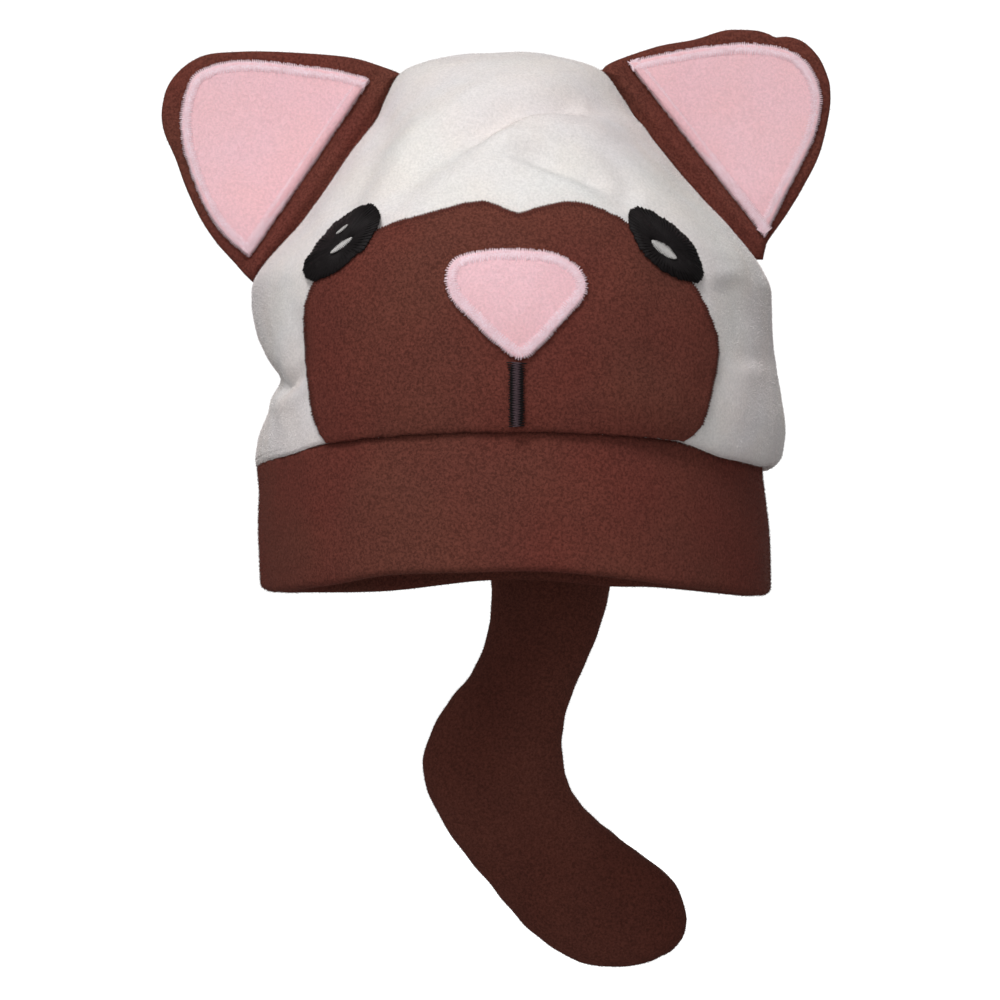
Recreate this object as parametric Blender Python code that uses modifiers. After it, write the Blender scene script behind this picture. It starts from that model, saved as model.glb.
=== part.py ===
"""Fleece cat hat with a stuffed tail, modelled as its sewn pieces.

Metres, +Z up, and the face looks along -Y. The origin is the middle of the
head opening, level with the hem at the sides of the head. Left and right are
as the face is seen from the front, so left is -X.
"""

import math
from collections import namedtuple

import bmesh
import bpy
from mathutils import Vector
from mathutils.bvhtree import BVHTree

# Cloth
FLEECE = 0.0023
PATCH = 0.0015
GAP = 0.0003
EASE = 0.0003

# Band, measured inside at the hem
HEAD_WIDTH = 0.1655
HEAD_LENGTH = 0.193
BAND_WALL = 0.0045
BAND_HEIGHT = 0.044
BAND_TAPER = 0.0014
BAND_EDGE = 0.0011
BAND_ROUND = 2.2
HEM_ARCH = 0.0065

# Crown
HAT_HEIGHT = 0.1845
SIDE_BULGE = 0.00475
FRONT_BULGE = 0.0032
BACK_BULGE = 0.0049
CROWN_LEAN = -0.003
FOLD_DEPTH = 0.0032
FOLD_SPREAD = 0.0075
PINCH_DEPTH = 0.0105
PINCH_HEIGHT = 0.014
PINCH_TURN = math.radians(24)

# Face, as it shows from the front
MUZZLE_WIDTH = 0.136
MUZZLE_HEIGHT = 0.0727
MUZZLE_SEAT = 0.0006
NOSE_WIDTH = 0.045
NOSE_HEIGHT = 0.0351
NOSE_RISE = 0.0221
NOSE_SHIFT = 0.0012
MOUTH_WIDTH = 0.0047
MOUTH_LENGTH = 0.0196
MOUTH_ROUND = 5
EYE_LENGTH = 0.0308
EYE_WIDTH = 0.013
EYE_ROUND = 2.2
SLIT_LENGTH = 0.009
SLIT_WIDTH = 0.0027
SLIT_ROUND = 2
STEP_LEDGE = 0.0015
STEP_RUN = 0.005

# Ears
EAR_HEIGHT = 0.060
EAR_THICK = 0.005
EAR_EDGE = 0.0016
EAR_CUP = 0.0016

# Tail
TAIL_ROOT_X = 0.015
TAIL_DROP = 0.165
TAIL_SWAY = 0.030
TAIL_WIDTH = 0.042
TAIL_DEPTH = 0.027
TAIL_ROUND = 2.1

# Facets
AROUND = 52
MUZZLE_FOOT_STEPS = 16
MOUTH_SIDES = 16
EYE_SIDES = 20
EAR_FOOT_STEPS = 6
TAIL_SIDES = 14
TAIL_STEPS = 2
TAIL_EASE = 3
CAP_STEPS = 4
AIM_ROUNDS = 4
ROW_ERROR = 1e-6

# Colours, as red, green and blue out of 255
CREAM = (232, 228, 222)
BROWN = (93, 50, 43)
PINK = (240, 195, 202)
BLACK = (34, 28, 27)
FLEECE_ROUGHNESS = 0.95
THREAD_ROUGHNESS = 0.6

# Worked out from the driving sizes
BAND_SIDE = HEAD_WIDTH / 2 + BAND_WALL
BAND_REACH = HEAD_LENGTH / 2 + BAND_WALL
CROWN_SIDE = BAND_SIDE - BAND_TAPER + SIDE_BULGE
CROWN_FRONT = BAND_REACH - BAND_TAPER + FRONT_BULGE
CROWN_BACK = BAND_REACH - BAND_TAPER + BACK_BULGE
FRONT_SEAM = BAND_HEIGHT + HEM_ARCH

# rise: share of the height between seam and top; side, front and back: shares
# of the crown's widest reach each way; lean: share of CROWN_LEAN; round: how
# square the ring is, 2 for an ellipse; steps: rings up to the next row
Ring = namedtuple("Ring", "rise side front back lean round steps")
CROWN_RINGS = (
    Ring(0.000, 0.967, 0.975, 0.961, -0.20, 2.20, 1),
    Ring(0.026, 0.992, 0.983, 0.974, -0.63, 2.20, 1),
    Ring(0.083, 1.000, 0.994, 0.990, -0.70, 2.20, 2),
    Ring(0.183, 0.985, 1.000, 1.000, -0.50, 2.20, 2),
    Ring(0.282, 0.974, 0.992, 0.997, -0.17, 2.20, 2),
    Ring(0.375, 0.972, 0.970, 0.982, 0.10, 2.18, 1),
    Ring(0.430, 0.972, 0.949, 0.966, 0.07, 2.15, 1),
    Ring(0.481, 0.943, 0.924, 0.946, -0.60, 2.12, 2),
    Ring(0.552, 0.850, 0.879, 0.902, -0.80, 2.10, 2),
    Ring(0.636, 0.738, 0.809, 0.832, -0.53, 2.08, 2),
    Ring(0.730, 0.627, 0.703, 0.725, -0.30, 2.05, 2),
    Ring(0.829, 0.518, 0.554, 0.574, -0.07, 2.00, 2),
    Ring(0.933, 0.422, 0.348, 0.358, 0.50, 2.00, 1),
    Ring(0.971, 0.318, 0.233, 0.238, 0.80, 2.00, 1),
    Ring(0.993, 0.166, 0.122, 0.124, 1.00, 2.00, 1),
    Ring(1.000, 0.000, 0.000, 0.000, 1.00, 2.00, 0),
)
WIDEST = 3

# rise: share of the band's height; out: share of BAND_TAPER that it stands
# out past the top edge; lean: share of CROWN_LEAN
BandRow = namedtuple("BandRow", "rise out lean")
BAND_ROWS = (
    BandRow(0.0, 1.0, -0.3),
    BandRow(0.5, 0.8, 0.0),
    BandRow(1.0, 0.0, 0.3),
)

# Valleys in the front of the crown, from one point to the next: across is a
# share of the crown's side reach, rise a share of its height over the seam,
# depth a share of FOLD_DEPTH and spread one of FOLD_SPREAD
Fold = namedtuple("Fold", "across rise to_across to_rise depth spread")
FOLDS = (
    Fold(-0.36, 0.57, -0.19, 0.70, 0.8, 1.0),
    Fold(-0.19, 0.70, 0.01, 0.79, 1.0, 1.0),
    Fold(0.01, 0.79, 0.21, 0.80, 1.0, 1.1),
    Fold(-0.04, 0.65, 0.13, 0.635, 0.8, 0.8),
    Fold(0.13, 0.635, 0.25, 0.595, 0.7, 0.8),
    Fold(-0.49, 0.77, -0.55, 0.62, 0.8, 1.0),
)
PINCH_RISE = 0.204

# Points of an outline: across is a share of half the piece's width, up a
# share of its height
Point = namedtuple("Point", "across up")
MUZZLE_OUTLINE = (
    Point(0.810, 0.000),
    Point(0.885, 0.040),
    Point(0.941, 0.150),
    Point(0.994, 0.378),
    Point(0.950, 0.525),
    Point(0.856, 0.670),
    Point(0.721, 0.805),
    Point(0.540, 0.922),
    Point(0.412, 0.974),
    Point(0.268, 0.996),
    Point(0.034, 0.944),
    Point(-0.175, 1.000),
    Point(-0.338, 0.974),
    Point(-0.613, 0.911),
    Point(-0.805, 0.800),
    Point(-0.938, 0.681),
    Point(-0.980, 0.543),
    Point(-0.975, 0.309),
    Point(-0.950, 0.069),
    Point(-0.885, 0.000),
)
NOSE_OUTLINE = (
    Point(0.98, 0.61),
    Point(0.94, 0.79),
    Point(0.65, 0.945),
    Point(0.20, 1.00),
    Point(-0.45, 0.995),
    Point(-0.87, 0.92),
    Point(-1.00, 0.75),
    Point(-0.92, 0.555),
    Point(-0.68, 0.385),
    Point(-0.32, 0.16),
    Point(0.04, 0.00),
    Point(0.34, 0.13),
    Point(0.75, 0.415),
)

# Ear outlines: across is a share of the chord between the ends of the base,
# from the lower end, and up a share of EAR_HEIGHT off that chord
EAR_OUTLINE = (
    Point(0.00, 0.00),
    Point(0.05, 0.23),
    Point(0.13, 0.52),
    Point(0.245, 0.78),
    Point(0.37, 0.955),
    Point(0.495, 0.998),
    Point(0.61, 0.935),
    Point(0.76, 0.70),
    Point(0.90, 0.33),
    Point(1.00, 0.00),
)
INNER_EAR_OUTLINE = (
    Point(0.075, 0.10),
    Point(0.134, 0.43),
    Point(0.245, 0.705),
    Point(0.37, 0.857),
    Point(0.50, 0.919),
    Point(0.62, 0.84),
    Point(0.74, 0.635),
    Point(0.85, 0.345),
    Point(0.905, 0.115),
)

# low and high: where the ear's base starts and ends, as shares of the height
# between seam and top; reach: share of EAR_HEIGHT; droop: how far the outline
# slips towards the base's lower end, as a share of the base
Ear = namedtuple("Ear", "name side low high reach droop")
EARS = (
    Ear("left", -1, 0.436, 0.950, 1.03, 0.03),
    Ear("right", 1, 0.495, 0.960, 1.00, -0.01),
)

# across and rise: the middle of the eye, as for FOLDS; size and slit: shares
# of the named sizes; tilt and slit_tilt in degrees, rising towards +X
Eye = namedtuple("Eye", "name across rise size tilt slit slit_tilt")
EYES = (
    Eye("left", -0.600, 0.457, 1.00, 37.5, 0.95, 36.0),
    Eye("right", 0.544, 0.449, 1.02, -42.0, 1.10, -33.0),
)

# drop: share of TAIL_DROP below the seam; sway: share of TAIL_SWAY; width and
# depth: shares of the tail's half sizes
Section = namedtuple("Section", "drop sway width depth")
TAIL_SECTIONS = (
    Section(0.000, 0.00, 0.98, 0.18),
    Section(0.120, 0.00, 1.05, 0.58),
    Section(0.257, -0.02, 1.07, 0.88),
    Section(0.331, -0.08, 1.01, 0.95),
    Section(0.430, -0.21, 0.94, 0.98),
    Section(0.541, -0.49, 0.94, 1.00),
    Section(0.631, -0.68, 1.13, 1.00),
    Section(0.715, -0.72, 1.27, 1.00),
    Section(0.800, -0.55, 1.14, 1.00),
    Section(0.887, -0.16, 1.03, 0.98),
    Section(0.962, 0.34, 1.03, 0.96),
    Section(1.014, 0.95, 1.02, 0.94),
)


def clear_scene():
    """Take away whatever the file opened with."""
    for old in list(bpy.data.objects):
        bpy.data.objects.remove(old, do_unlink=True)


def new_collection(name):
    """Collection linked to the scene."""
    collection = bpy.data.collections.new(name)
    bpy.context.scene.collection.children.link(collection)
    return collection


def finish(name, colour, roughness):
    """Plain cloth material from a colour out of 255."""
    material = bpy.data.materials.new(name)
    material.use_nodes = True
    shader = material.node_tree.nodes["Principled BSDF"]
    linear = [((part / 255 + 0.055) / 1.055) ** 2.4 for part in colour]
    shader.inputs["Base Color"].default_value = (*linear, 1)
    shader.inputs["Roughness"].default_value = roughness
    shader.inputs["Metallic"].default_value = 0
    return material


def between(rows, position):
    """Row at a fractional position, on a smooth curve through the rows."""
    last = len(rows) - 1
    first = min(int(position), last - 1)
    t = position - first
    near = [rows[max(0, min(last, first + step))] for step in (-1, 0, 1, 2)]
    weights = (
        (-t + 2 * t**2 - t**3) / 2,
        (2 - 5 * t**2 + 3 * t**3) / 2,
        (t + 4 * t**2 - 3 * t**3) / 2,
        (-(t**2) + t**3) / 2,
    )
    mixed = (sum(w * value for w, value in zip(weights, column)) for column in zip(*near))
    return type(rows[0])(*mixed)


def smooth(share):
    """Ease from 0 to 1 as share goes from 0 to 1."""
    share = max(0.0, min(1.0, share))
    return share * share * (3 - 2 * share)


def round_point(angle, power):
    """Point of a unit superellipse."""
    cosine, sine = math.cos(angle), math.sin(angle)
    across = math.copysign(abs(cosine) ** (2 / power), cosine)
    along = math.copysign(abs(sine) ** (2 / power), sine)
    return across, along


def arch(angle):
    """How much higher the hem and the seam are than at the sides."""
    return HEM_ARCH * math.sin(angle) ** 2


def front_height(rise):
    """Height of a share of the crown in the middle of the front."""
    return FRONT_SEAM + rise * (HAT_HEIGHT - FRONT_SEAM)


def core():
    """Middle of the head, from which cloth is lifted outwards."""
    rise = CROWN_RINGS[WIDEST].rise
    return Vector((0, 0, BAND_HEIGHT + rise * (HAT_HEIGHT - BAND_HEIGHT)))


def segment_distance(x, z, start, end):
    """Distance in the front view from a point to a segment."""
    run = (end[0] - start[0], end[1] - start[1])
    off = (x - start[0], z - start[1])
    length = run[0] ** 2 + run[1] ** 2
    share = max(0.0, min(1.0, (off[0] * run[0] + off[1] * run[1]) / length))
    return math.hypot(off[0] - share * run[0], off[1] - share * run[1])


def fold_depth(point):
    """How far the folds draw a point of the front in."""
    if point.y > 0:
        return 0.0
    deepest = 0.0
    for fold in FOLDS:
        start = (fold.across * CROWN_SIDE, front_height(fold.rise))
        end = (fold.to_across * CROWN_SIDE, front_height(fold.to_rise))
        away = segment_distance(point.x, point.z, start, end) / (fold.spread * FOLD_SPREAD)
        deepest = max(deepest, fold.depth * FOLD_DEPTH * math.exp(-away * away))
    return deepest


def pinch_depth(angle, height):
    """How far the pinch in the left side draws a point in."""
    turn = (angle - math.pi) / PINCH_TURN
    middle = BAND_HEIGHT + PINCH_RISE * (HAT_HEIGHT - BAND_HEIGHT)
    up = (height - middle) / PINCH_HEIGHT
    return PINCH_DEPTH * math.exp(-turn * turn - up * up)


def crown_point(angle, position):
    """Point of the crown's outer face; angle 0 is +X and a quarter turn +Y."""
    ring = between(CROWN_RINGS, position)
    across, along = round_point(angle, ring.round)
    seam = BAND_HEIGHT + arch(angle)
    reach = CROWN_FRONT * ring.front if along < 0 else CROWN_BACK * ring.back
    height = seam + GAP + ring.rise * (HAT_HEIGHT - seam - GAP)
    point = Vector((CROWN_LEAN * ring.lean + CROWN_SIDE * ring.side * across, reach * along, height))
    inwards = fold_depth(point) + pinch_depth(angle, height)
    return point - inwards * (point - core()).normalized()


def band_point(angle, row, inset=0.0):
    """Point of the band's outer face, or of its wall if inset."""
    out = row.out * BAND_TAPER - BAND_TAPER - inset
    across, along = round_point(angle, BAND_ROUND)
    x = CROWN_LEAN * row.lean + (BAND_SIDE + out) * across
    return Vector((x, (BAND_REACH + out) * along, row.rise * BAND_HEIGHT + arch(angle)))


def ring_positions():
    """Positions of the crown's rings in its table, below the top."""
    positions = []
    for row, ring in enumerate(CROWN_RINGS):
        positions += [row + step / ring.steps for step in range(ring.steps)]
    return positions


def position_at(rise):
    """Position in the crown's table of a share of its height."""
    low, high = 0.0, len(CROWN_RINGS) - 1.0
    while high - low > ROW_ERROR:
        middle = (low + high) / 2
        if between(CROWN_RINGS, middle).rise < rise:
            low = middle
        else:
            high = middle
    return low


def turns(count):
    """Equal angles round a full turn."""
    return [2 * math.pi * step / count for step in range(count)]


def cloth(name, rings, first_hub=None, last_hub=None):
    """Surface through equal rings of points, closed by a hub at either end."""
    shape = bmesh.new()
    rows = [[shape.verts.new(point) for point in ring] for ring in rings]
    count = len(rows[0])
    for lower, upper in zip(rows, rows[1:]):
        for here in range(count):
            following = (here + 1) % count
            shape.faces.new((lower[here], lower[following], upper[following], upper[here]))
    for hub, row in ((first_hub, rows[0][::-1]), (last_hub, rows[-1])):
        if hub is None:
            continue
        middle = shape.verts.new(hub)
        for here in range(count):
            shape.faces.new((row[here], row[(here + 1) % count], middle))
    mesh = bpy.data.meshes.new(name)
    shape.to_mesh(mesh)
    shape.free()
    mesh.shade_smooth()
    return mesh


def add_object(name, mesh, material, collection):
    """Object of one mesh and one material."""
    thing = bpy.data.objects.new(name, mesh)
    collection.objects.link(thing)
    if not mesh.materials:
        mesh.materials.append(material)
    return thing


def thicken(thing, thickness, side):
    """Give cloth its thickness: side -1 is inwards, 1 outwards, 0 both."""
    wall = thing.modifiers.new("Thickness", "SOLIDIFY")
    wall.thickness = thickness
    wall.offset = side
    wall.use_even_offset = True


def soften(thing, width):
    """Round the edges of a thick piece."""
    edge = thing.modifiers.new("Soft edge", "BEVEL")
    edge.width = width
    edge.segments = 1
    edge.limit_method = "ANGLE"
    edge.angle_limit = math.radians(50)


def half_space(name, side, cutters):
    """Cutter that holds the front half (side -1) or the back half (side 1)."""
    room = 4 * HAT_HEIGHT
    shape = bmesh.new()
    bmesh.ops.create_cube(shape, size=room)
    bmesh.ops.translate(shape, verts=shape.verts, vec=(0, side * (room + GAP) / 2, 0))
    mesh = bpy.data.meshes.new(name)
    shape.to_mesh(mesh)
    shape.free()
    cutter = bpy.data.objects.new(name, mesh)
    cutter.display_type = "WIRE"
    cutter.hide_render = True
    cutters.objects.link(cutter)
    return cutter


def crown_surface():
    """Outer face of the whole crown, from its seat on the band to the top."""
    angles = turns(AROUND)
    seat = [band_point(angle, BAND_ROWS[-1], BAND_WALL / 2) + Vector((0, 0, GAP)) for angle in angles]
    rings = [[crown_point(angle, position) for angle in angles] for position in ring_positions()]
    top = crown_point(0, len(CROWN_RINGS) - 1)
    return cloth("crown", [seat] + rings, last_hub=top)


def make_crown(surface, cream, collection, cutters):
    """Front and back of the crown, which meet in the seam over the ears."""
    for name, side in (("crown_front", -1), ("crown_back", 1)):
        half = add_object(name, surface, cream, collection)
        thicken(half, FLEECE, -1)
        cut = half.modifiers.new("Half", "BOOLEAN")
        cut.operation = "INTERSECT"
        cut.object = half_space(name + "_room", side, cutters)


def make_band(brown, collection):
    """Doubled band round the head."""
    rings = [[band_point(angle, row) for angle in turns(AROUND)] for row in BAND_ROWS]
    band = add_object("band", cloth("band", rings), brown, collection)
    thicken(band, BAND_WALL, -1)
    soften(band, BAND_EDGE)


def on_crown(skin, x, z, lift, cover):
    """Point over the crown whose cloth, with its cover, shows at x and z."""
    aim = Vector((x, -2 * CROWN_FRONT, z))
    for _ in range(AIM_ROUNDS):
        hit = skin.ray_cast(aim, Vector((0, 1, 0)))[0]
        out = (hit - core()).normalized()
        face = hit + out * (lift + cover)
        aim.x += x - face.x
        aim.z += z - face.z
    return hit + out * lift


def rounded(outline, steps, closed):
    """Points on a smooth curve through an outline's points."""
    rows = list(outline)
    if not closed:
        last = len(rows) - 1
        return [between(rows, step / steps) for step in range(last * steps + 1)]
    count = len(rows)
    looped = rows[-2:] + rows + rows[:2]
    return [between(looped, 2 + step / steps) for step in range(count * steps)]


def muzzle_outline():
    """Muzzle in the front view, round to its foot along the seam."""
    side = MUZZLE_WIDTH / 2
    seam = FRONT_SEAM
    points = [
        (side * point.across, seam + MUZZLE_HEIGHT * point.up)
        for point in rounded(MUZZLE_OUTLINE, 2, closed=False)
    ]
    start, end = points[-1][0], points[0][0]
    foot = []
    for step in range(MUZZLE_FOOT_STEPS + 1):
        x = start + (end - start) * step / MUZZLE_FOOT_STEPS
        drop = HEM_ARCH * abs(x / CROWN_SIDE) ** BAND_ROUND
        foot.append((x, seam - drop + GAP + MUZZLE_SEAT))
    return points[1:-1] + foot


def shrunk(outline, hub, share):
    """Outline drawn in towards a point."""
    return [(hub[0] + (x - hub[0]) * share, hub[1] + (z - hub[1]) * share) for x, z in outline]


def add_patch(name, outline, hub, shares, lift, skin, material, collection):
    """Patch of cloth laid on the front of the crown."""
    def laid(x, z):
        return on_crown(skin, x, z, lift, PATCH)

    rings = [[laid(x, z) for x, z in shrunk(outline, hub, share)] for share in shares]
    patch = add_object(name, cloth(name, rings, last_hub=laid(*hub)), material, collection)
    thicken(patch, PATCH, 1)


def make_muzzle(skin, brown, collection):
    """Muzzle patch, whose foot is sewn in with the band."""
    hub = (0, FRONT_SEAM + MUZZLE_HEIGHT / 2)
    shares = (1, 0.95, 0.87, 0.77, 0.64, 0.48, 0.27)
    add_patch("muzzle_patch", muzzle_outline(), hub, shares, GAP + EASE, skin, brown, collection)


def over_muzzle():
    """Lift of a piece that lies on the muzzle patch."""
    return 2 * (GAP + EASE) + PATCH


def make_nose(skin, pink, collection):
    """Nose patch in the middle of the muzzle."""
    tip = FRONT_SEAM + NOSE_RISE
    outline = [
        (NOSE_SHIFT + NOSE_WIDTH / 2 * point.across, tip + NOSE_HEIGHT * point.up)
        for point in rounded(NOSE_OUTLINE, 2, closed=True)
    ]
    hub = (NOSE_SHIFT, tip + NOSE_HEIGHT * 0.6)
    add_patch("nose", outline, hub, (1, 0.7, 0.35), over_muzzle(), skin, pink, collection)


def make_mouth(skin, black, collection):
    """Stitched bar under the nose."""
    top = FRONT_SEAM + NOSE_RISE - GAP - EASE
    middle = (NOSE_SHIFT, top - MOUTH_LENGTH / 2)
    outline = []
    for angle in turns(MOUTH_SIDES):
        across, up = round_point(angle, MOUTH_ROUND)
        outline.append((middle[0] + across * MOUTH_WIDTH / 2, middle[1] + up * MOUTH_LENGTH / 2))
    add_patch("mouth_line", outline, middle, (1, 0.5), over_muzzle(), skin, black, collection)


def outside(x, z, outline):
    """Distance of a point outside an outline, 0 if it is inside."""
    edges = list(zip(outline, outline[1:] + outline[:1]))
    crossings = 0
    for start, end in edges:
        if (start[1] > z) != (end[1] > z):
            share = (z - start[1]) / (end[1] - start[1])
            crossings += start[0] + share * (end[0] - start[0]) > x
    if crossings % 2:
        return 0.0
    return min(segment_distance(x, z, start, end) for start, end in edges)


def tilted_oval(middle, length, width, degrees, power):
    """Oval in the front view, turned up towards +X."""
    turn = math.radians(degrees)
    points = []
    for angle in turns(EYE_SIDES):
        along, off = round_point(angle, power)
        along *= length / 2
        off *= width / 2
        x = middle[0] + along * math.cos(turn) - off * math.sin(turn)
        points.append((x, middle[1] + along * math.sin(turn) + off * math.cos(turn)))
    return points


def make_eye(eye, skin, black, collection):
    """Stitched eye with a slit in it, laid over the muzzle's edge."""
    muzzle = muzzle_outline()
    middle = (eye.across * CROWN_SIDE, front_height(eye.rise))
    rim = tilted_oval(middle, eye.size * EYE_LENGTH, eye.size * EYE_WIDTH, eye.tilt, EYE_ROUND)
    slit = tilted_oval(middle, eye.slit * SLIT_LENGTH, eye.slit * SLIT_WIDTH, eye.slit_tilt, SLIT_ROUND)
    rings = []
    for share in (0, 0.25, 0.5, 0.75, 1):
        ring = []
        for outer, inner in zip(rim, slit):
            x = outer[0] + (inner[0] - outer[0]) * share
            z = outer[1] + (inner[1] - outer[1]) * share
            step = 1 - smooth((outside(x, z, muzzle) - STEP_LEDGE) / STEP_RUN)
            lift = GAP + EASE + step * (over_muzzle() - GAP - EASE)
            ring.append(on_crown(skin, x, z, lift, PATCH))
        rings.append(ring)
    name = "eye_" + eye.name
    thing = add_object(name, cloth(name, rings), black, collection)
    thicken(thing, PATCH, 1)


def ear_frame(ear):
    """Lower end of an ear's base, the base's run and the way off it."""
    angle = 0 if ear.side > 0 else math.pi
    low = crown_point(angle, position_at(ear.low))
    high = crown_point(angle, position_at(ear.high))
    run = high - low
    away = Vector((run.z, 0, -run.x)).normalized() * ear.side
    return low, run, away


def ear_edge(ear, outline):
    """Points of an outline drawn on an ear, which may reach or droop more."""
    low, run, away = ear_frame(ear)
    points = []
    for point in rounded(outline, 2, closed=False):
        across = point.across - ear.droop * point.up
        points.append(low + run * across + away * EAR_HEIGHT * ear.reach * point.up)
    return points


def ear_base(ear):
    """Points along the crown's side that the ear's base follows, top down."""
    angle = 0 if ear.side > 0 else math.pi
    ends = (position_at(ear.low), position_at(ear.high))
    inside = [position for position in ring_positions() if ends[0] < position < ends[1]]
    points = []
    for position in reversed([ends[0]] + inside + [ends[1]]):
        point = crown_point(angle, position)
        points.append(point + (point - core()).normalized() * GAP)
    return points


def ear_cup(ear, point):
    """How far the ear's middle stands back at a point."""
    low, run, away = ear_frame(ear)
    middle = low + run / 2 + away * EAR_HEIGHT / 2
    share = (point - middle).length / (EAR_HEIGHT / 2)
    return EAR_CUP * max(0.0, 1 - share * share)


def ear_sheet(ear, outline, front, shares):
    """Rings of an ear piece, drawn in from its outline, and its hub."""
    low, run, away = ear_frame(ear)
    hub = low + run / 2 + away * EAR_HEIGHT / 2

    def cupped(point):
        return Vector((point.x, ear_cup(ear, point) - front, point.z))

    if ear.side < 0:
        outline = outline[::-1]
    rings = [[cupped(hub + (point - hub) * share) for point in outline] for share in shares]
    return rings, cupped(hub)


def make_ear(ear, brown, collection):
    """Padded ear standing in the seam of the crown."""
    outline = ear_edge(ear, EAR_OUTLINE)[1:-1] + ear_base(ear)
    rings, hub = ear_sheet(ear, outline, 0, (1, 0.8, 0.55, 0.3))
    name = "ear_" + ear.name
    thing = add_object(name, cloth(name, rings, last_hub=hub), brown, collection)
    thicken(thing, EAR_THICK, 0)
    soften(thing, EAR_EDGE)


def make_inner_ear(ear, pink, collection):
    """Patch on the face of an ear."""
    outline = ear_edge(ear, INNER_EAR_OUTLINE)
    shares = [step / EAR_FOOT_STEPS for step in range(1, EAR_FOOT_STEPS)]
    foot = [outline[-1].lerp(outline[0], share) for share in shares]
    rings, hub = ear_sheet(ear, outline + foot, EAR_THICK / 2 + GAP + EASE, (1, 0.75, 0.45))
    name = "inner_ear_" + ear.name
    thing = add_object(name, cloth(name, rings, last_hub=hub), pink, collection)
    thicken(thing, PATCH, 1)


def band_back(x, height):
    """How far back the band stands at a place across it."""
    rise = max(0.0, min(1.0, height / FRONT_SEAM))
    row = between(BAND_ROWS, rise * (len(BAND_ROWS) - 1))
    out = row.out * BAND_TAPER - BAND_TAPER
    across = (x - CROWN_LEAN * row.lean) / (BAND_SIDE + out)
    return (BAND_REACH + out) * (1 - abs(across) ** BAND_ROUND) ** (1 / BAND_ROUND)


def tail_middle(section):
    """Middle of the tail at a section, which hangs against the band."""
    x = TAIL_ROOT_X + TAIL_SWAY * section.sway
    height = FRONT_SEAM - TAIL_DROP * section.drop
    carried = 0.0
    for angle in turns(TAIL_SIDES):
        across, towards = round_point(angle, TAIL_ROUND)
        behind = band_back(TAIL_ROOT_X + TAIL_WIDTH / 2 * section.width * across, height)
        carried = max(carried, behind + GAP + TAIL_DEPTH / 2 * section.depth * towards)
    return Vector((x, carried, height))


def tail_ring(middle, heading, width, depth):
    """Oval section of the tail, square to its heading."""
    side = Vector((-heading.z, 0, heading.x))
    points = []
    for angle in turns(TAIL_SIDES):
        across, back = round_point(angle, TAIL_ROUND)
        points.append(middle + side * width * across - Vector((0, depth * back, 0)))
    return points


def make_tail(brown, collection):
    """Stuffed tail, sewn in flat at the back seam and bent to one side."""
    count = (len(TAIL_SECTIONS) - 1) * TAIL_STEPS
    sections = [between(TAIL_SECTIONS, step / TAIL_STEPS) for step in range(count + 1)]
    middles = [tail_middle(section) for section in sections]
    rings = []
    for here, section in enumerate(sections):
        heading = middles[min(here + TAIL_EASE, count)] - middles[max(here - TAIL_EASE, 0)]
        heading = Vector((heading.x, 0, heading.z)).normalized()
        width = TAIL_WIDTH / 2 * section.width
        rings.append(tail_ring(middles[here], heading, width, TAIL_DEPTH / 2 * section.depth))
    end = sections[-1]
    half_width = TAIL_WIDTH / 2 * end.width
    half_depth = TAIL_DEPTH / 2 * end.depth
    for step in range(1, CAP_STEPS):
        angle = math.pi / 2 * step / CAP_STEPS
        middle = middles[-1] + heading * half_width * math.sin(angle)
        rings.append(tail_ring(middle, heading, half_width * math.cos(angle), half_depth * math.cos(angle)))
    tip = middles[-1] + heading * half_width
    mesh = cloth("tail", rings, first_hub=middles[0], last_hub=tip)
    add_object("tail", mesh, brown, collection)


def build():
    """Make every piece of the hat."""
    clear_scene()
    hat = new_collection("cat_hat")
    cutters = new_collection("cutters")
    cream = finish("cream_fleece", CREAM, FLEECE_ROUGHNESS)
    brown = finish("brown_fleece", BROWN, FLEECE_ROUGHNESS)
    pink = finish("pink_fleece", PINK, FLEECE_ROUGHNESS)
    black = finish("black_thread", BLACK, THREAD_ROUGHNESS)
    surface = crown_surface()
    corners = [corner.co.copy() for corner in surface.vertices]
    skin = BVHTree.FromPolygons(corners, [tuple(face.vertices) for face in surface.polygons])
    make_crown(surface, cream, hat, cutters)
    make_band(brown, hat)
    make_muzzle(skin, brown, hat)
    make_nose(skin, pink, hat)
    make_mouth(skin, black, hat)
    for eye in EYES:
        make_eye(eye, skin, black, hat)
    for ear in EARS:
        make_ear(ear, brown, hat)
        make_inner_ear(ear, pink, hat)
    make_tail(brown, hat)


build()
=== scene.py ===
"""Looks of a fleece cat hat: cloth, padding, stitching and pile over its solids.

Metres, +Z up, and the face looks along -Y. Left and right are as the face is
seen from the front, so left is -X.
"""

import math
from collections import namedtuple

import bmesh
import bpy
import numpy as np
from bpy.props import FloatProperty, FloatVectorProperty, PointerProperty
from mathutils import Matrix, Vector, noise
from mathutils.bvhtree import BVHTree


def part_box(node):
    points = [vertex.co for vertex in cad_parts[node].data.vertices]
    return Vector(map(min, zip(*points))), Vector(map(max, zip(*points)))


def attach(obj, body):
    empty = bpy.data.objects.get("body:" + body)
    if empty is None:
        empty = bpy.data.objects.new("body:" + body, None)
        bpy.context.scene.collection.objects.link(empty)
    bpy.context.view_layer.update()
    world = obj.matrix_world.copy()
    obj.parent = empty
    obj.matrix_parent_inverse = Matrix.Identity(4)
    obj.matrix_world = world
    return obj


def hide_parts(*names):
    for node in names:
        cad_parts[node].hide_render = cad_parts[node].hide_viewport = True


bl_info = {
    "name": "Fleece Cat Hat",
    "version": (1, 0, 0),
    "blender": (4, 5, 0),
    "location": "View3D > Sidebar > Cat Hat",
    "description": "Sews the cloth, padding, stitches and pile of a fleece cat hat",
    "category": "Object",
}

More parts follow.
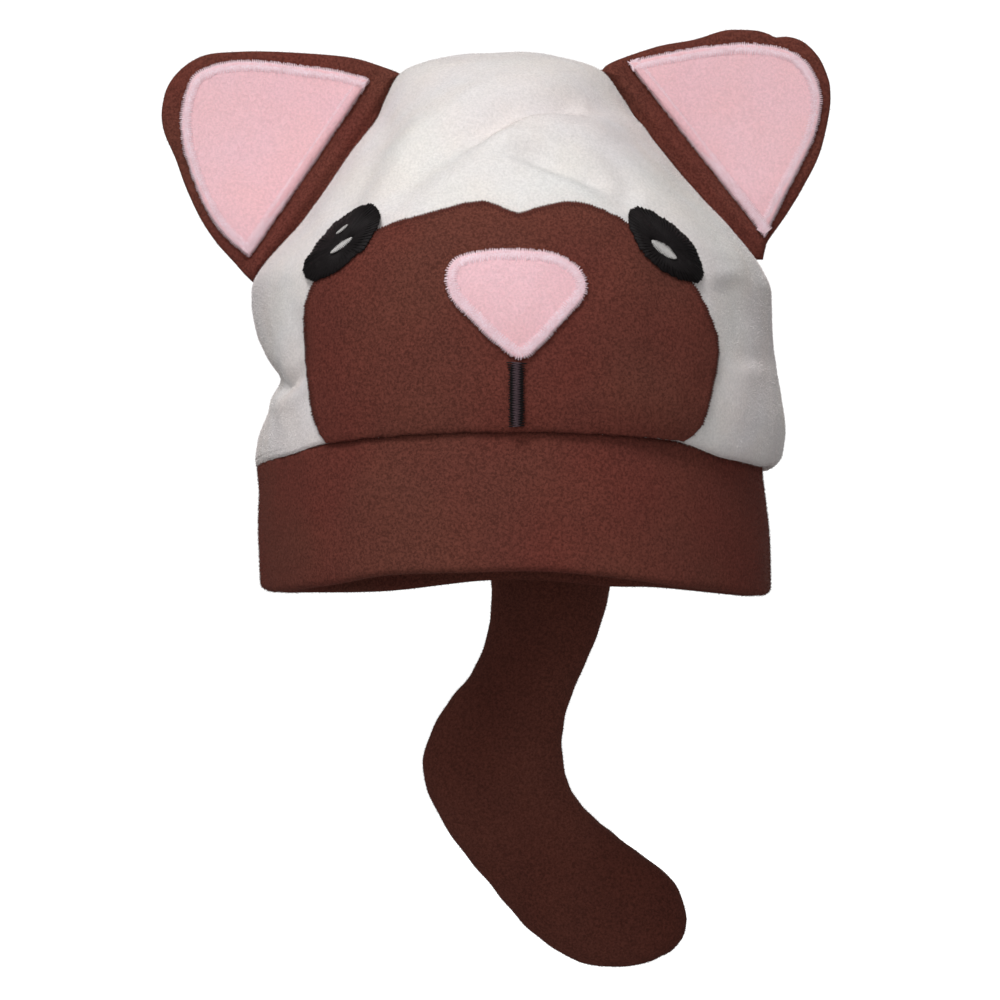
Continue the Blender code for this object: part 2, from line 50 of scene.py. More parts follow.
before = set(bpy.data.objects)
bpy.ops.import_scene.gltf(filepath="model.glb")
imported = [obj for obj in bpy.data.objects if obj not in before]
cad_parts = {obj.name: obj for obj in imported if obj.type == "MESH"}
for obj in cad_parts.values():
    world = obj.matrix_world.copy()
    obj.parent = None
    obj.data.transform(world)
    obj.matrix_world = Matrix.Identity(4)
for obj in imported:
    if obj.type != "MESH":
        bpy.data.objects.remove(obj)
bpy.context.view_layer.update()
BODY = "root"

# Cloth and the gaps between pieces, as the solids have them
FLEECE = 0.0023
PATCH = 0.0015
GAP = 0.0003
EASE = 0.0003

# Sizes read from the solids
BAND_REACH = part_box("band")[1].y
CROWN_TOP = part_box("crown_front")[1].z
TAIL_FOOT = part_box("tail")[0].z

# Sizes of the pattern that the solids were cut to
BAND_SIDE = 0.08725
BAND_WALL = 0.0045
BAND_HEIGHT = 0.044
BAND_TAPER = 0.0014
BAND_ROUND = 2.2
HEM_ARCH = 0.0065
CROWN_SIDE = BAND_SIDE - BAND_TAPER + 0.00475
CROWN_FRONT = BAND_REACH - BAND_TAPER + 0.0032
CROWN_BACK = BAND_REACH - BAND_TAPER + 0.0049
CROWN_LEAN = -0.003
FRONT_SEAM = BAND_HEIGHT + HEM_ARCH
MUZZLE_WIDTH = 0.136
MUZZLE_HEIGHT = 0.0727
NOSE_WIDTH = 0.045
NOSE_HEIGHT = 0.0351
NOSE_RISE = 0.0221
NOSE_SHIFT = 0.0012
STEP_LEDGE = 0.0015
STEP_RUN = 0.005
EAR_HEIGHT = 0.060
EAR_THICK = 0.005
EAR_CUP = 0.0016
TAIL_ROOT_X = 0.015
TAIL_DROP = 0.165
TAIL_DEPTH = 0.027
TAIL_ROUND = 2.1

# How the cloth gives: drawn in at the left of the hem, pinched at the left of
# the crown, hanging over the band, tucked in at the sides and slack between
LEFT_DRAW = 0.0011
PINCH_DEPTH = 0.0105
PINCH_HEIGHT = 0.0135
PINCH_TURN = math.radians(24)
PINCH_RISE = 0.174
LIP = 0.0042
LIP_REACH = 0.045
LIP_SPREAD = 0.007
SIDE_TUCK = 0.0036
PUCKER_REACH = 0.004
RIPPLE_RUN = 0.0021
GATHER_RISE = 0.05
DART_FOOT = 0.158
SLACK_WAVE = 0.021
SLACK_RIPPLE = 0.009

# Where the muzzle is tucked into the seam, and what lies over it
MUZZLE_TUCK = 0.0008
SEAM_CLEAR = 0.0012
OVER_MUZZLE = 2 * (GAP + EASE) + PATCH

# Reach of the mouth's stitches, which pass the ends of their solid
MOUTH_WIDTH = 0.0046
MOUTH_LENGTH = 0.0208


def named_rows(kind, table):
    """Rows of a table under the names of its columns."""
    return tuple(kind(*row) for row in table)


# rise: share of the height between seam and top; side, front and back: shares
# of the crown's widest reach each way; lean: share of CROWN_LEAN; power: how
# square the ring is, 2 for an ellipse
Ring = namedtuple("Ring", "rise side front back lean power")
CROWN_RINGS = named_rows(Ring, (
    (0.000, 0.967, 0.975, 0.961, -0.20, 2.20),
    (0.026, 0.992, 0.983, 0.974, -0.63, 2.20),
    (0.083, 1.000, 0.994, 0.990, -0.70, 2.20),
    (0.183, 0.985, 1.000, 1.000, -0.50, 2.20),
    (0.282, 0.974, 0.992, 0.997, -0.17, 2.20),
    (0.375, 0.972, 0.970, 0.982, 0.10, 2.18),
    (0.430, 0.972, 0.949, 0.966, 0.07, 2.15),
    (0.481, 0.943, 0.924, 0.946, -0.60, 2.12),
    (0.552, 0.850, 0.879, 0.902, -0.80, 2.10),
    (0.636, 0.738, 0.809, 0.832, -0.53, 2.08),
    (0.730, 0.627, 0.703, 0.725, -0.30, 2.05),
    (0.829, 0.518, 0.554, 0.574, -0.07, 2.00),
    (0.933, 0.422, 0.348, 0.358, 0.50, 2.00),
    (0.971, 0.318, 0.233, 0.238, 0.80, 2.00),
    (0.993, 0.166, 0.122, 0.124, 1.00, 2.00),
    (1.000, 0.000, 0.000, 0.000, 1.00, 2.00),
))
WIDEST = 3

# rise: share of the band's height; out: share of BAND_TAPER that it stands
# out past the top edge; lean: share of CROWN_LEAN
BandRow = namedtuple("BandRow", "rise out lean")
BAND_ROWS = named_rows(BandRow, (
    (0.0, 1.0, -0.3),
    (0.5, 0.8, 0.0),
    (1.0, 0.0, 0.3),
))

# Folds in the front of the crown: depth and spread are real sizes, and each
# line runs through points that are shares of the crown's side reach and rise
Fold = namedtuple("Fold", "depth spread line")
Spot = namedtuple("Spot", "across rise")
FOLDS = (
    Fold(0.0034, 0.0058, named_rows(Spot, (
        (-0.50, 0.54), (-0.40, 0.600), (-0.312, 0.656), (-0.216, 0.702), (-0.116, 0.752),
        (-0.019, 0.796), (0.064, 0.818), (0.174, 0.830), (0.284, 0.838), (0.40, 0.835),
        (0.50, 0.820),
    ))),
    Fold(0.0022, 0.0030, named_rows(Spot, (
        (-0.216, 0.702), (-0.116, 0.752), (-0.019, 0.797), (0.064, 0.819), (0.174, 0.831),
        (0.284, 0.838),
    ))),
    Fold(0.0022, 0.0026, named_rows(Spot, (
        (-0.100, 0.660), (-0.020, 0.680), (0.040, 0.684), (0.098, 0.671), (0.158, 0.654),
        (0.222, 0.638), (0.299, 0.617), (0.37, 0.600),
    ))),
    Fold(0.0022, 0.0060, named_rows(Spot, (
        (-0.02, 0.680), (0.10, 0.672), (0.222, 0.634), (0.299, 0.610), (0.40, 0.575), (0.46, 0.545),
    ))),
    Fold(0.0022, 0.0046, named_rows(Spot, (
        (-0.420, 0.820), (-0.479, 0.722), (-0.534, 0.642), (-0.591, 0.572), (-0.64, 0.505),
    ))),
    Fold(0.0026, 0.0034, named_rows(Spot, (
        (-1.00, 0.200), (-0.90, 0.150), (-0.84, 0.130), (-0.79, 0.170), (-0.765, 0.225),
        (-0.752, 0.320),
    ))),
    Fold(0.0014, 0.0024, named_rows(Spot, (
        (-0.88, 0.110), (-0.79, 0.140), (-0.72, 0.168),
    ))),
    Fold(0.0020, 0.0075, named_rows(Spot, (
        (0.78, 0.40), (0.84, 0.28), (0.88, 0.16),
    ))),
)
FOLD_TAPER = 0.2

# Points of an outline: across is a share of half the piece's width, up a
# share of its height
Point = namedtuple("Point", "across up")
MUZZLE_OUTLINE = named_rows(Point, (
    (0.812, 0.000), (0.880, 0.048), (0.936, 0.150), (0.985, 0.378), (0.942, 0.528), (0.852, 0.672),
    (0.719, 0.806), (0.545, 0.924), (0.412, 0.988), (0.268, 1.016), (0.150, 0.995), (0.028, 0.962),
    (-0.060, 0.990), (-0.130, 1.016), (-0.220, 1.008), (-0.338, 0.980), (-0.613, 0.911),
    (-0.805, 0.802), (-0.944, 0.686), (-0.997, 0.545), (-0.990, 0.312), (-0.952, 0.110),
    (-0.890, 0.000),
))
NOSE_OUTLINE = named_rows(Point, (
    (0.98, 0.61), (0.94, 0.79), (0.65, 0.945), (0.20, 1.00), (-0.45, 0.995), (-0.87, 0.92),
    (-1.00, 0.75), (-0.92, 0.555), (-0.68, 0.385), (-0.32, 0.16), (0.04, 0.00), (0.34, 0.13),
    (0.75, 0.415),
))

# Ear outlines: across is a share of the chord between the ends of the base,
# from the lower end, and up a share of EAR_HEIGHT off that chord
LEFT_EAR = named_rows(Point, (
    (0.000, 0.000), (0.010, 0.090), (0.023, 0.167), (0.047, 0.318), (0.088, 0.472), (0.154, 0.641),
    (0.223, 0.786), (0.277, 0.916), (0.326, 0.990), (0.382, 1.036), (0.437, 1.062), (0.500, 1.062),
    (0.569, 1.034), (0.633, 0.974), (0.704, 0.850), (0.765, 0.727), (0.840, 0.553), (0.913, 0.373),
    (0.951, 0.259), (0.974, 0.156), (0.990, 0.070), (1.000, 0.000),
))
RIGHT_EAR = named_rows(Point, (
    (0.000, 0.000), (0.030, 0.055), (0.047, 0.101), (0.077, 0.265), (0.118, 0.440), (0.179, 0.642),
    (0.280, 0.838), (0.350, 0.930), (0.402, 0.969), (0.478, 0.998), (0.560, 0.990), (0.617, 0.945),
    (0.652, 0.884), (0.680, 0.866), (0.723, 0.824), (0.779, 0.737), (0.812, 0.668), (0.856, 0.518),
    (0.925, 0.347), (0.982, 0.150), (1.003, 0.050), (1.000, 0.000),
))
LEFT_INNER_EAR = named_rows(Point, (
    (0.073, 0.112), (0.088, 0.305), (0.139, 0.497), (0.239, 0.715), (0.299, 0.815), (0.382, 0.905),
    (0.473, 0.957), (0.535, 0.965), (0.598, 0.916), (0.662, 0.830), (0.730, 0.685), (0.802, 0.487),
    (0.866, 0.300), (0.907, 0.134),
))
RIGHT_INNER_EAR = named_rows(Point, (
    (0.066, 0.091), (0.110, 0.232), (0.155, 0.382), (0.240, 0.664), (0.310, 0.803), (0.361, 0.866),
    (0.427, 0.905), (0.504, 0.917), (0.563, 0.892), (0.631, 0.829), (0.714, 0.711), (0.803, 0.529),
    (0.889, 0.322), (0.957, 0.140),
))

# low and high: where the ear's base starts and ends, as shares of the height
# between seam and top; roll: how far the cloth at the base rolls forward, and
# roll_width how far the roll reaches from the base
Ear = namedtuple("Ear", "name side low high outline inner roll roll_width")
EARS = (
    Ear("left", -1, 0.436, 0.950, LEFT_EAR, LEFT_INNER_EAR, 0.0024, 0.0052),
    Ear("right", 1, 0.495, 0.960, RIGHT_EAR, RIGHT_INNER_EAR, 0.0022, 0.0050),
)

# Rims of the eyes in the front view, as for FOLDS
LEFT_EYE = named_rows(Spot, (
    (-0.752, 0.403), (-0.723, 0.446), (-0.694, 0.477), (-0.654, 0.509), (-0.607, 0.536),
    (-0.563, 0.553), (-0.512, 0.558), (-0.472, 0.534), (-0.468, 0.506), (-0.489, 0.475),
    (-0.518, 0.444), (-0.564, 0.415), (-0.622, 0.386), (-0.680, 0.372), (-0.724, 0.371),
))
RIGHT_EYE = named_rows(Spot, (
    (0.451, 0.545), (0.417, 0.535), (0.408, 0.506), (0.419, 0.475), (0.443, 0.439), (0.472, 0.414),
    (0.514, 0.391), (0.564, 0.373), (0.614, 0.363), (0.663, 0.365), (0.679, 0.392), (0.667, 0.430),
    (0.641, 0.462), (0.594, 0.494), (0.549, 0.518), (0.497, 0.535),
))

# Pale slits: across and rise of the middle, length and width, tilt in degrees
# up towards +X
Slit = namedtuple("Slit", "across rise length width tilt")
Eye = namedtuple("Eye", "name rim slits")
EYES = (
    Eye("left", LEFT_EYE, (
        Slit(-0.606, 0.450, 0.0082, 0.0017, 35.0),
        Slit(-0.607, 0.494, 0.0044, 0.0008, 37.0),
    )),
    Eye("right", RIGHT_EYE, (
        Slit(0.534, 0.436, 0.0094, 0.0031, -34.0),
    )),
)

# How far the hem hangs below its even arch: across is a share of the band's
# half width and drop a share of HEM_ARCH
HemSpot = namedtuple("HemSpot", "across drop")
FRONT_HEM = named_rows(HemSpot, (
    (-1.00, -0.20), (-0.96, 0.12), (-0.87, 0.28), (-0.66, 0.28), (-0.50, 0.03), (-0.35, 0.10),
    (-0.10, 0.13), (0.07, 0.03), (0.34, 0.25), (0.62, 0.50), (0.90, 0.36), (0.97, 0.28),
    (1.00, 0.05),
))
BACK_HEM = named_rows(HemSpot, (
    (-1.00, -0.20), (-0.96, 0.10), (-0.87, 0.24), (-0.71, 0.50), (-0.55, 0.64), (-0.46, 0.61),
    (-0.30, 0.45), (-0.12, 0.22), (0.12, 0.24), (0.45, 0.52), (0.55, 0.33), (0.80, 0.33),
    (0.97, 0.28), (1.00, 0.05),
))

# Both edges of the tail in the front view: across and down are shares of
# TAIL_DROP from the root's middle; depth: share of half TAIL_DEPTH
Section = namedtuple("Section", "left_across left_down right_across right_down depth")
TAIL_SECTIONS = named_rows(Section, (
    (-0.125, 0.000, 0.125, 0.000, 0.18),
    (-0.131, 0.124, 0.134, 0.124, 0.58),
    (-0.136, 0.250, 0.138, 0.250, 0.86),
    (-0.136, 0.345, 0.120, 0.350, 0.95),
    (-0.149, 0.417, 0.0945, 0.422, 0.97),
    (-0.181, 0.487, 0.062, 0.496, 0.99),
    (-0.225, 0.541, 0.037, 0.560, 1.00),
    (-0.259, 0.596, 0.026, 0.618, 1.00),
    (-0.284, 0.660, 0.026, 0.668, 1.00),
    (-0.287, 0.712, 0.032, 0.706, 1.00),
    (-0.265, 0.779, 0.043, 0.739, 1.00),
    (-0.214, 0.866, 0.066, 0.777, 1.00),
    (-0.148, 0.948, 0.108, 0.818, 1.00),
    (-0.083, 1.027, 0.167, 0.866, 0.98),
    (-0.020, 1.084, 0.223, 0.907, 0.96),
    (0.040, 1.124, 0.270, 0.946, 0.94),
    (0.095, 1.141, 0.293, 0.986, 0.88),
    (0.145, 1.144, 0.303, 1.024, 0.78),
    (0.190, 1.139, 0.302, 1.056, 0.64),
    (0.222, 1.131, 0.293, 1.081, 0.46),
    (0.247, 1.118, 0.276, 1.102, 0.24),
))
TAIL_END = 0.15
TAIL_SEAM = 0.0006
TAIL_PUCKER = 0.00014

# Where rings of points lie: in from a patch's edge, and as shares of the way out
# over an ear and in over an eye
EDGE_STEPS = (0, 0.00008, 0.0003, 0.0006, 0.001, 0.0015, 0.0022, 0.0032)
EAR_SHARES = (0.06, 0.15, 0.25, 0.35, 0.45, 0.55, 0.64, 0.72, 0.79, 0.85, 0.9, 0.94, 0.965, 0.985, 0.996)
EYE_SHARES = (0, 0.03, 0.1, 0.25, 0.45, 0.65, 0.85, 0.95, 1)

# Rounding at the edge of the muzzle and of the smaller patches
MUZZLE_EDGE = 0.0011
PATCH_EDGE = 0.0009
THIN_PATCH = PATCH * 0.8

# Edging: points along one stitch; how far the zigzag lies inside the edge, as a
# share of half its width; where the thread lies and how far it drops over the
# edge, as shares of the patch's thickness
STITCH_POINTS = 8
EDGING_INWARDS = 0.9
THREAD_SEAT = 0.98
THREAD_DROP = 0.35
MUZZLE_STITCH = 0.0009
MUZZLE_PITCH = 0.0009

# Eyes: how high the satin stitches arch, and how far threads clear what is below
EYE_RISE = 0.0013
THREAD_CLEAR = 0.0002
SLIT_CLEAR = 0.0001
UPPER_SLIT_CLEAR = 0.0008


def shade(red, green, blue):
    """Linear colour from sRGB values out of 255."""
    return tuple(((part / 255 + 0.055) / 1.055) ** 2.4 for part in (red, green, blue))


def length(name, description, default, low, high):
    """Property for a size in metres."""
    return FloatProperty(
        name=name,
        description=description,
        default=default,
        min=low,
        max=high,
        precision=5,
        subtype="DISTANCE",
        unit="LENGTH",
    )


def strength(name, description, default):
    """Property for the strength of a light."""
    return FloatProperty(name=name, description=description, default=default, min=0)


def colour(name, description, default):
    """Property for a colour."""
    return FloatVectorProperty(
        name=name,
        description=description,
        default=default,
        min=0,
        max=1,
        size=3,
        subtype="COLOR",
    )


class HatCloth(bpy.types.PropertyGroup):
    """Sizes of the cloth, its seams and its pile."""

    seam_depth: length("Seam depth", "How deep the crown's seam over the ears lies", 0.0016, 0, 0.004)
    seam_reach: length("Seam reach", "How far from the seam the cloth rolls in", 0.0022, 0.0005, 0.01)
    pucker: length("Puckers", "Height of the puckers beside a seam", 0.00022, 0, 0.002)
    slack: length("Slack", "Height of the soft waves in the crown", 0.0007, 0, 0.003)
    padding: length("Band padding", "How far the doubled band swells", 0.0003, 0, 0.003)
    pile_length: length("Pile length", "Length of the brushed fibres", 0.0008, 0.0002, 0.003)
    pile_width: length("Pile width", "Width of a fibre at its root", 0.00011, 0.00002, 0.0005)


class HatStitching(bpy.types.PropertyGroup):
    """Sizes of the thread and its stitches."""

    thread: length("Thread", "Thickness of the thread", 0.00042, 0.0001, 0.001)
    edging_pitch: length("Edging pitch", "From one zigzag stitch to the next", 0.00062, 0.0004, 0.004)
    edging_width: length("Edging width", "Width of the zigzag along a patch", 0.0038, 0.001, 0.006)
    satin_pitch: length("Satin pitch", "From one satin stitch to the next", 0.00085, 0.0002, 0.002)


class HatColours(bpy.types.PropertyGroup):
    """Colours of the cloth and thread."""

    cream: colour("Cream fleece", "Crown", shade(237, 235, 233))
    brown: colour("Brown fleece", "Band, muzzle, ears and tail", shade(100, 57, 48))
    pink: colour("Pink fleece", "Nose and inner ears", shade(245, 202, 210))
    pink_thread: colour("Pink thread", "Edging of the pink patches", shade(253, 217, 225))
    brown_thread: colour("Brown thread", "Edging of the muzzle", shade(92, 50, 43))
    black_thread: colour("Black thread", "Eyes and mouth", shade(21, 16, 17))
    # The plum thread is lighter than the black thread: a painted highlight along the ridge of the mouth's
    # stitches
    plum_thread: colour("Plum thread", "Ridge of the mouth", shade(74, 56, 62))
    pale_thread: colour("Pale thread", "Slits of the eyes", shade(192, 189, 187))


class HatStage(bpy.types.PropertyGroup):
    """Floor, camera and light."""

    distance: length("Camera distance", "From the camera to the hat", 1.3, 0.5, 5)
    elevation: FloatProperty(
        name="Camera elevation",
        description="Angle of the camera above the hat's middle",
        default=math.radians(-1.7),
        subtype="ANGLE",
        unit="ROTATION",
    )
    view_width: length("View width", "Width of the view at the hat", 0.342, 0.1, 2)
    target: FloatVectorProperty(
        name="Target",
        description="Point in the middle of the view",
        default=(-0.004, 0, 0.0315),
        subtype="TRANSLATION",
        unit="LENGTH",
        precision=4,
    )
    clearance: length("Floor clearance", "From the tail down to the floor", 0.03, 0, 0.5)
    key: strength("Key light", "Power of the soft front light", 9.1)
    fill: strength("Fill light", "Strength of the light from all round", 0.26)
    floor_glow: strength("Floor glow", "Light that keeps the floor pale", 0.84)


def through(table, position):
    """Values of a table's columns at fractional rows, on a smooth curve through the rows."""
    table = np.asarray(table, float)
    last = len(table) - 1
    position = np.asarray(position, float)
    first = np.clip(position.astype(int), 0, last - 1)
    t = (position - first)[..., None]
    before, start, end, after = (table[np.clip(first + step, 0, last)] for step in (-1, 0, 1, 2))
    return (
        before * (-t + 2 * t**2 - t**3)
        + start * (2 - 5 * t**2 + 3 * t**3)
        + end * (t + 4 * t**2 - 3 * t**3)
        + after * (-(t**2) + t**3)
    ) / 2


def smooth(share):
    """Ease from 0 to 1 as share goes from 0 to 1."""
    share = np.clip(share, 0, 1)
    return share * share * (3 - 2 * share)


def bell(distance, spread):
    """Soft bump, 1 in its middle."""
    return np.exp(-((np.asarray(distance) / spread) ** 2))


def round_point(angle, power):
    """Point of a unit superellipse."""
    cosine, sine = np.cos(angle), np.sin(angle)
    across = np.copysign(np.abs(cosine) ** (2 / power), cosine)
    along = np.copysign(np.abs(sine) ** (2 / power), sine)
    return across, along


def arch(angle):
    """How much higher the hem and the seam are than at the sides."""
    return HEM_ARCH * np.sin(angle) ** 2


def front_height(rise):
    """Height of a share of the crown in the middle of the front."""
    return FRONT_SEAM + rise * (CROWN_TOP - FRONT_SEAM)


# Middle of the head, and a search tree over the crown's front once it is sewn
CORE = np.array((0, 0, BAND_HEIGHT + CROWN_RINGS[WIDEST].rise * (CROWN_TOP - BAND_HEIGHT)))
SKIN = {}


def outwards(points):
    """Directions from the middle of the head."""
    away = points - CORE
    return away / np.linalg.norm(away, axis=-1, keepdims=True)


def lumps(points, size, seed=0):
    """Soft random waves from about -1 to 1, of one size."""
    flat = points.reshape(-1, 3) / size + seed * 17.3
    values = np.array([noise.noise(Vector(point)) for point in flat])
    return values.reshape(points.shape[:-1])


def line_distance(x, z, line):
    """Distance in the front view from points to a line, and the nearest place's share of it."""
    nearest = np.full(x.shape, np.inf)
    place = np.zeros(x.shape)
    count = len(line) - 1
    for step, (start, end) in enumerate(zip(line, line[1:])):
        run = end - start
        share = ((x - start[0]) * run[0] + (z - start[1]) * run[1]) / (run @ run)
        share = np.clip(share, 0, 1)
        away = np.hypot(x - start[0] - share * run[0], z - start[1] - share * run[1])
        place = np.where(away < nearest, (step + share) / count, place)
        nearest = np.minimum(nearest, away)
    return nearest, place


def curve_through(points, steps, closed=False):
    """Points on a smooth curve through an outline's points."""
    rows = np.asarray(points, float)
    if not closed:
        return through(rows, np.linspace(0, len(rows) - 1, (len(rows) - 1) * steps + 1))
    looped = np.concatenate([rows[-2:], rows, rows[:2]])
    return through(looped, 2 + np.arange(len(rows) * steps) / steps)


def evenly(points, count, closed=False):
    """Points at equal distances along a line of points."""
    line = np.concatenate([points, points[:1]]) if closed else points
    run = np.concatenate([[0], np.cumsum(np.linalg.norm(np.diff(line, axis=0), axis=1))])
    stops = np.linspace(0, run[-1], count + 1 if closed else count)
    even = np.stack([np.interp(stops, run, line[:, column]) for column in range(line.shape[1])], -1)
    return even[:-1] if closed else even


def seam_drop(x):
    """How much lower than its middle the seam lies at places across it."""
    return HEM_ARCH * np.abs(x / CROWN_SIDE) ** BAND_ROUND


def fold_depth(points):
    """How far the folds draw the front of the crown in."""
    x, z = points[..., 0], points[..., 2]
    depth = np.zeros(x.shape)
    for fold in FOLDS:
        line = np.array([(spot.across * CROWN_SIDE, front_height(spot.rise)) for spot in fold.line])
        line = curve_through(line, 6)
        away, place = line_distance(x, z, line)
        taper = smooth(place / FOLD_TAPER) * smooth((1 - place) / FOLD_TAPER)
        valley = bell(away, fold.spread)
        shoulders = 0.35 * bell(away - 2.1 * fold.spread, 0.8 * fold.spread)
        depth += fold.depth * taper * (valley - shoulders)
    return depth * smooth(-points[..., 1] / 0.012)


def pinch_depth(angle, height):
    """How far the pinch in the left side draws a point in."""
    middle = BAND_HEIGHT + PINCH_RISE * (CROWN_TOP - BAND_HEIGHT)
    return PINCH_DEPTH * bell(angle - math.pi, PINCH_TURN) * bell(height - middle, PINCH_HEIGHT)


def lip_share(angle):
    """How far the crown's lower edge hangs over the band, from 0 to 1."""
    right = smooth((np.cos(angle) - 0.52) / 0.24) * (1 - smooth((np.sin(angle) - 0.2) / 0.5))
    left = smooth((-np.cos(angle) - 0.64) / 0.2)
    corner = smooth((np.cos(angle) - 0.9) / 0.1)
    return right * (1 - 0.45 * corner) + 0.5 * left


def side_tuck(angle, rise):
    """How far the crown is drawn in under the right ear."""
    return SIDE_TUCK * smooth(np.cos(angle)) * smooth((rise - 0.40) / 0.10) * smooth((1 - rise) / 0.08)


def crown_skin(angle, position, cloth):
    """Outer face of the crown; angle 0 is +X and a quarter turn +Y."""
    ring = through(CROWN_RINGS, position)
    rise, side, front, back, lean, power = np.moveaxis(ring, -1, 0)
    across, along = round_point(angle, power)
    seam = BAND_HEIGHT + arch(angle)
    reach = np.where(along < 0, CROWN_FRONT * front, CROWN_BACK * back)
    height = seam + GAP + rise * (CROWN_TOP - seam - GAP)
    x = CROWN_LEAN * lean + CROWN_SIDE * side * across - side_tuck(angle, rise)
    points = np.stack(np.broadcast_arrays(x, reach * along, height), -1)
    hang = LIP * lip_share(angle) * bell(rise, LIP_REACH)
    points[..., 2] -= hang
    points[..., :2] *= (1 + LIP_SPREAD * hang / LIP * bell(rise, 0.03))[..., None]
    off_seam = np.abs(points[..., 1])
    inwards = fold_depth(points) + pinch_depth(angle, height)
    inwards += cloth.seam_depth * bell(off_seam, cloth.seam_reach)
    ripple = np.sin(height / RIPPLE_RUN + 3 * np.sin(height / 0.013))
    inwards += cloth.pucker * ripple * bell(off_seam - PUCKER_REACH, PUCKER_REACH)
    gathers = np.sin(27 * angle + 2.5 * np.sin(5 * angle)) * (0.5 + 0.5 * np.sin(3 * angle + 1))
    inwards += cloth.pucker * gathers * bell(rise - GATHER_RISE, LIP_REACH)
    dart = bell(x - 0.0004, 0.0009) * smooth((height - DART_FOOT) / 0.006) * (points[..., 1] < 0)
    inwards += 0.45 * cloth.pucker * dart
    inwards += cloth.slack * lumps(points, SLACK_WAVE) * smooth(rise / 0.12)
    inwards += 0.4 * cloth.slack * lumps(points, SLACK_RIPPLE, 1)
    return points - inwards[..., None] * outwards(points)


def band_face(angle, rise, inset):
    """Point of the band's outer face, or of its wall if inset."""
    row = through(BAND_ROWS, rise * (len(BAND_ROWS) - 1))
    out = row[..., 1] * BAND_TAPER - BAND_TAPER - inset
    across, along = round_point(angle, BAND_ROUND)
    x = CROWN_LEAN * row[..., 2] + (BAND_SIDE + out) * across
    height = rise * BAND_HEIGHT + arch(angle)
    return np.stack(np.broadcast_arrays(x, (BAND_REACH + out) * along, height), -1)


def grid_faces(rows, columns, wrap):
    """Four-sided faces over a grid of points, which may close on itself."""
    index = np.arange(rows * columns).reshape(rows, columns)
    right = np.roll(index, -1, axis=1)
    corners = np.stack([index[:-1], right[:-1], right[1:], index[1:]], -1)
    return (corners if wrap else corners[:, :-1]).reshape(-1, 4)


def to_mesh(name, points, faces):
    """Smooth mesh, with doubles merged and faces turned outwards."""
    mesh = bpy.data.meshes.new(name)
    mesh.from_pydata(np.asarray(points, float).tolist(), [], [list(face) for face in faces])
    shape = bmesh.new()
    shape.from_mesh(mesh)
    bmesh.ops.remove_doubles(shape, verts=shape.verts, dist=1e-6)
    bmesh.ops.recalc_face_normals(shape, faces=shape.faces)
    shape.to_mesh(mesh)
    shape.free()
    mesh.shade_smooth()
    return mesh


def shell(name, rings, first_hub=None, last_hub=None, around=False):
    """Mesh through closed rings of points, closed by hubs or round on itself."""
    rings = np.asarray(rings, float)
    rows, columns = rings.shape[:2]
    points = rings.reshape(-1, 3)
    if around:
        faces = grid_faces(rows + 1, columns, True) % (rows * columns)
        return to_mesh(name, points, faces)
    faces = [tuple(face) for face in grid_faces(rows, columns, True)]
    for hub, start in ((first_hub, 0), (last_hub, (rows - 1) * columns)):
        if hub is None:
            continue
        points = np.concatenate([points, [hub]])
        last = len(points) - 1
        faces += [(start + step, start + (step + 1) % columns, last) for step in range(columns)]
    return to_mesh(name, points, faces)


def add_piece(name, mesh, material, node=None):
    """Piece of the hat, which may stand for a solid."""
    piece = bpy.data.objects.new(name, mesh)
    bpy.context.scene.collection.objects.link(piece)
    mesh.materials.clear()
    mesh.materials.append(material)
    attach(piece, BODY)
    if node:
        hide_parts(node)
    return piece


def settled(thing):
    """Plain mesh of an object with its modifiers worked out; the object goes."""
    graph = bpy.context.evaluated_depsgraph_get()
    mesh = bpy.data.meshes.new_from_object(thing.evaluated_get(graph))
    bpy.data.objects.remove(thing, do_unlink=True)
    return mesh


def loose_object(name, mesh):
    """Object that only lends its mesh to modifiers."""
    thing = bpy.data.objects.new(name, mesh)
    bpy.context.scene.collection.objects.link(thing)
    return thing


def thickened(name, mesh, thickness):
    """Open cloth with its thickness put on inwards."""
    thing = loose_object(name, mesh)
    wall = thing.modifiers.new("Thickness", "SOLIDIFY")
    wall.thickness = thickness
    wall.offset = -1
    wall.use_even_offset = True
    solid = settled(thing)
    solid.shade_smooth()
    return solid


def laid(spots, lifts, cover):
    """Points over the crown that show, with their cover, at places in the front view."""
    points = []
    for (x, z), lift in zip(spots, np.broadcast_to(lifts, len(spots))):
        low = FRONT_SEAM - seam_drop(x) + SEAM_CLEAR
        dip = max(0, low - z)
        z += dip
        aim = Vector((x, -2 * CROWN_FRONT, z))
        for _ in range(3):
            hit = SKIN["front"].ray_cast(aim, Vector((0, 1, 0)))[0]
            out = (hit - Vector(CORE)).normalized()
            face = hit + out * (lift + cover)
            aim.x += x - face.x
            aim.z += z - face.z
        points.append(hit + out * lift - Vector((0, -0.5 * dip, dip)))
    return np.array(points)


def on_crown(lift, cover=0):
    """What lays places of the front view on the crown, at a lift and under a cover."""
    return lambda spots: laid(spots, lift, cover)


def forwards(points):
    """Directions straight out of the front view."""
    return np.zeros(points.shape) + (0, -1, 0)


def outline_points(outline, width, height, middle, foot, steps, closed):
    """Outline drawn at its size in the front view."""
    points = curve_through(outline, steps, closed)
    return np.stack([middle + width / 2 * points[:, 0], foot + height * points[:, 1]], -1)


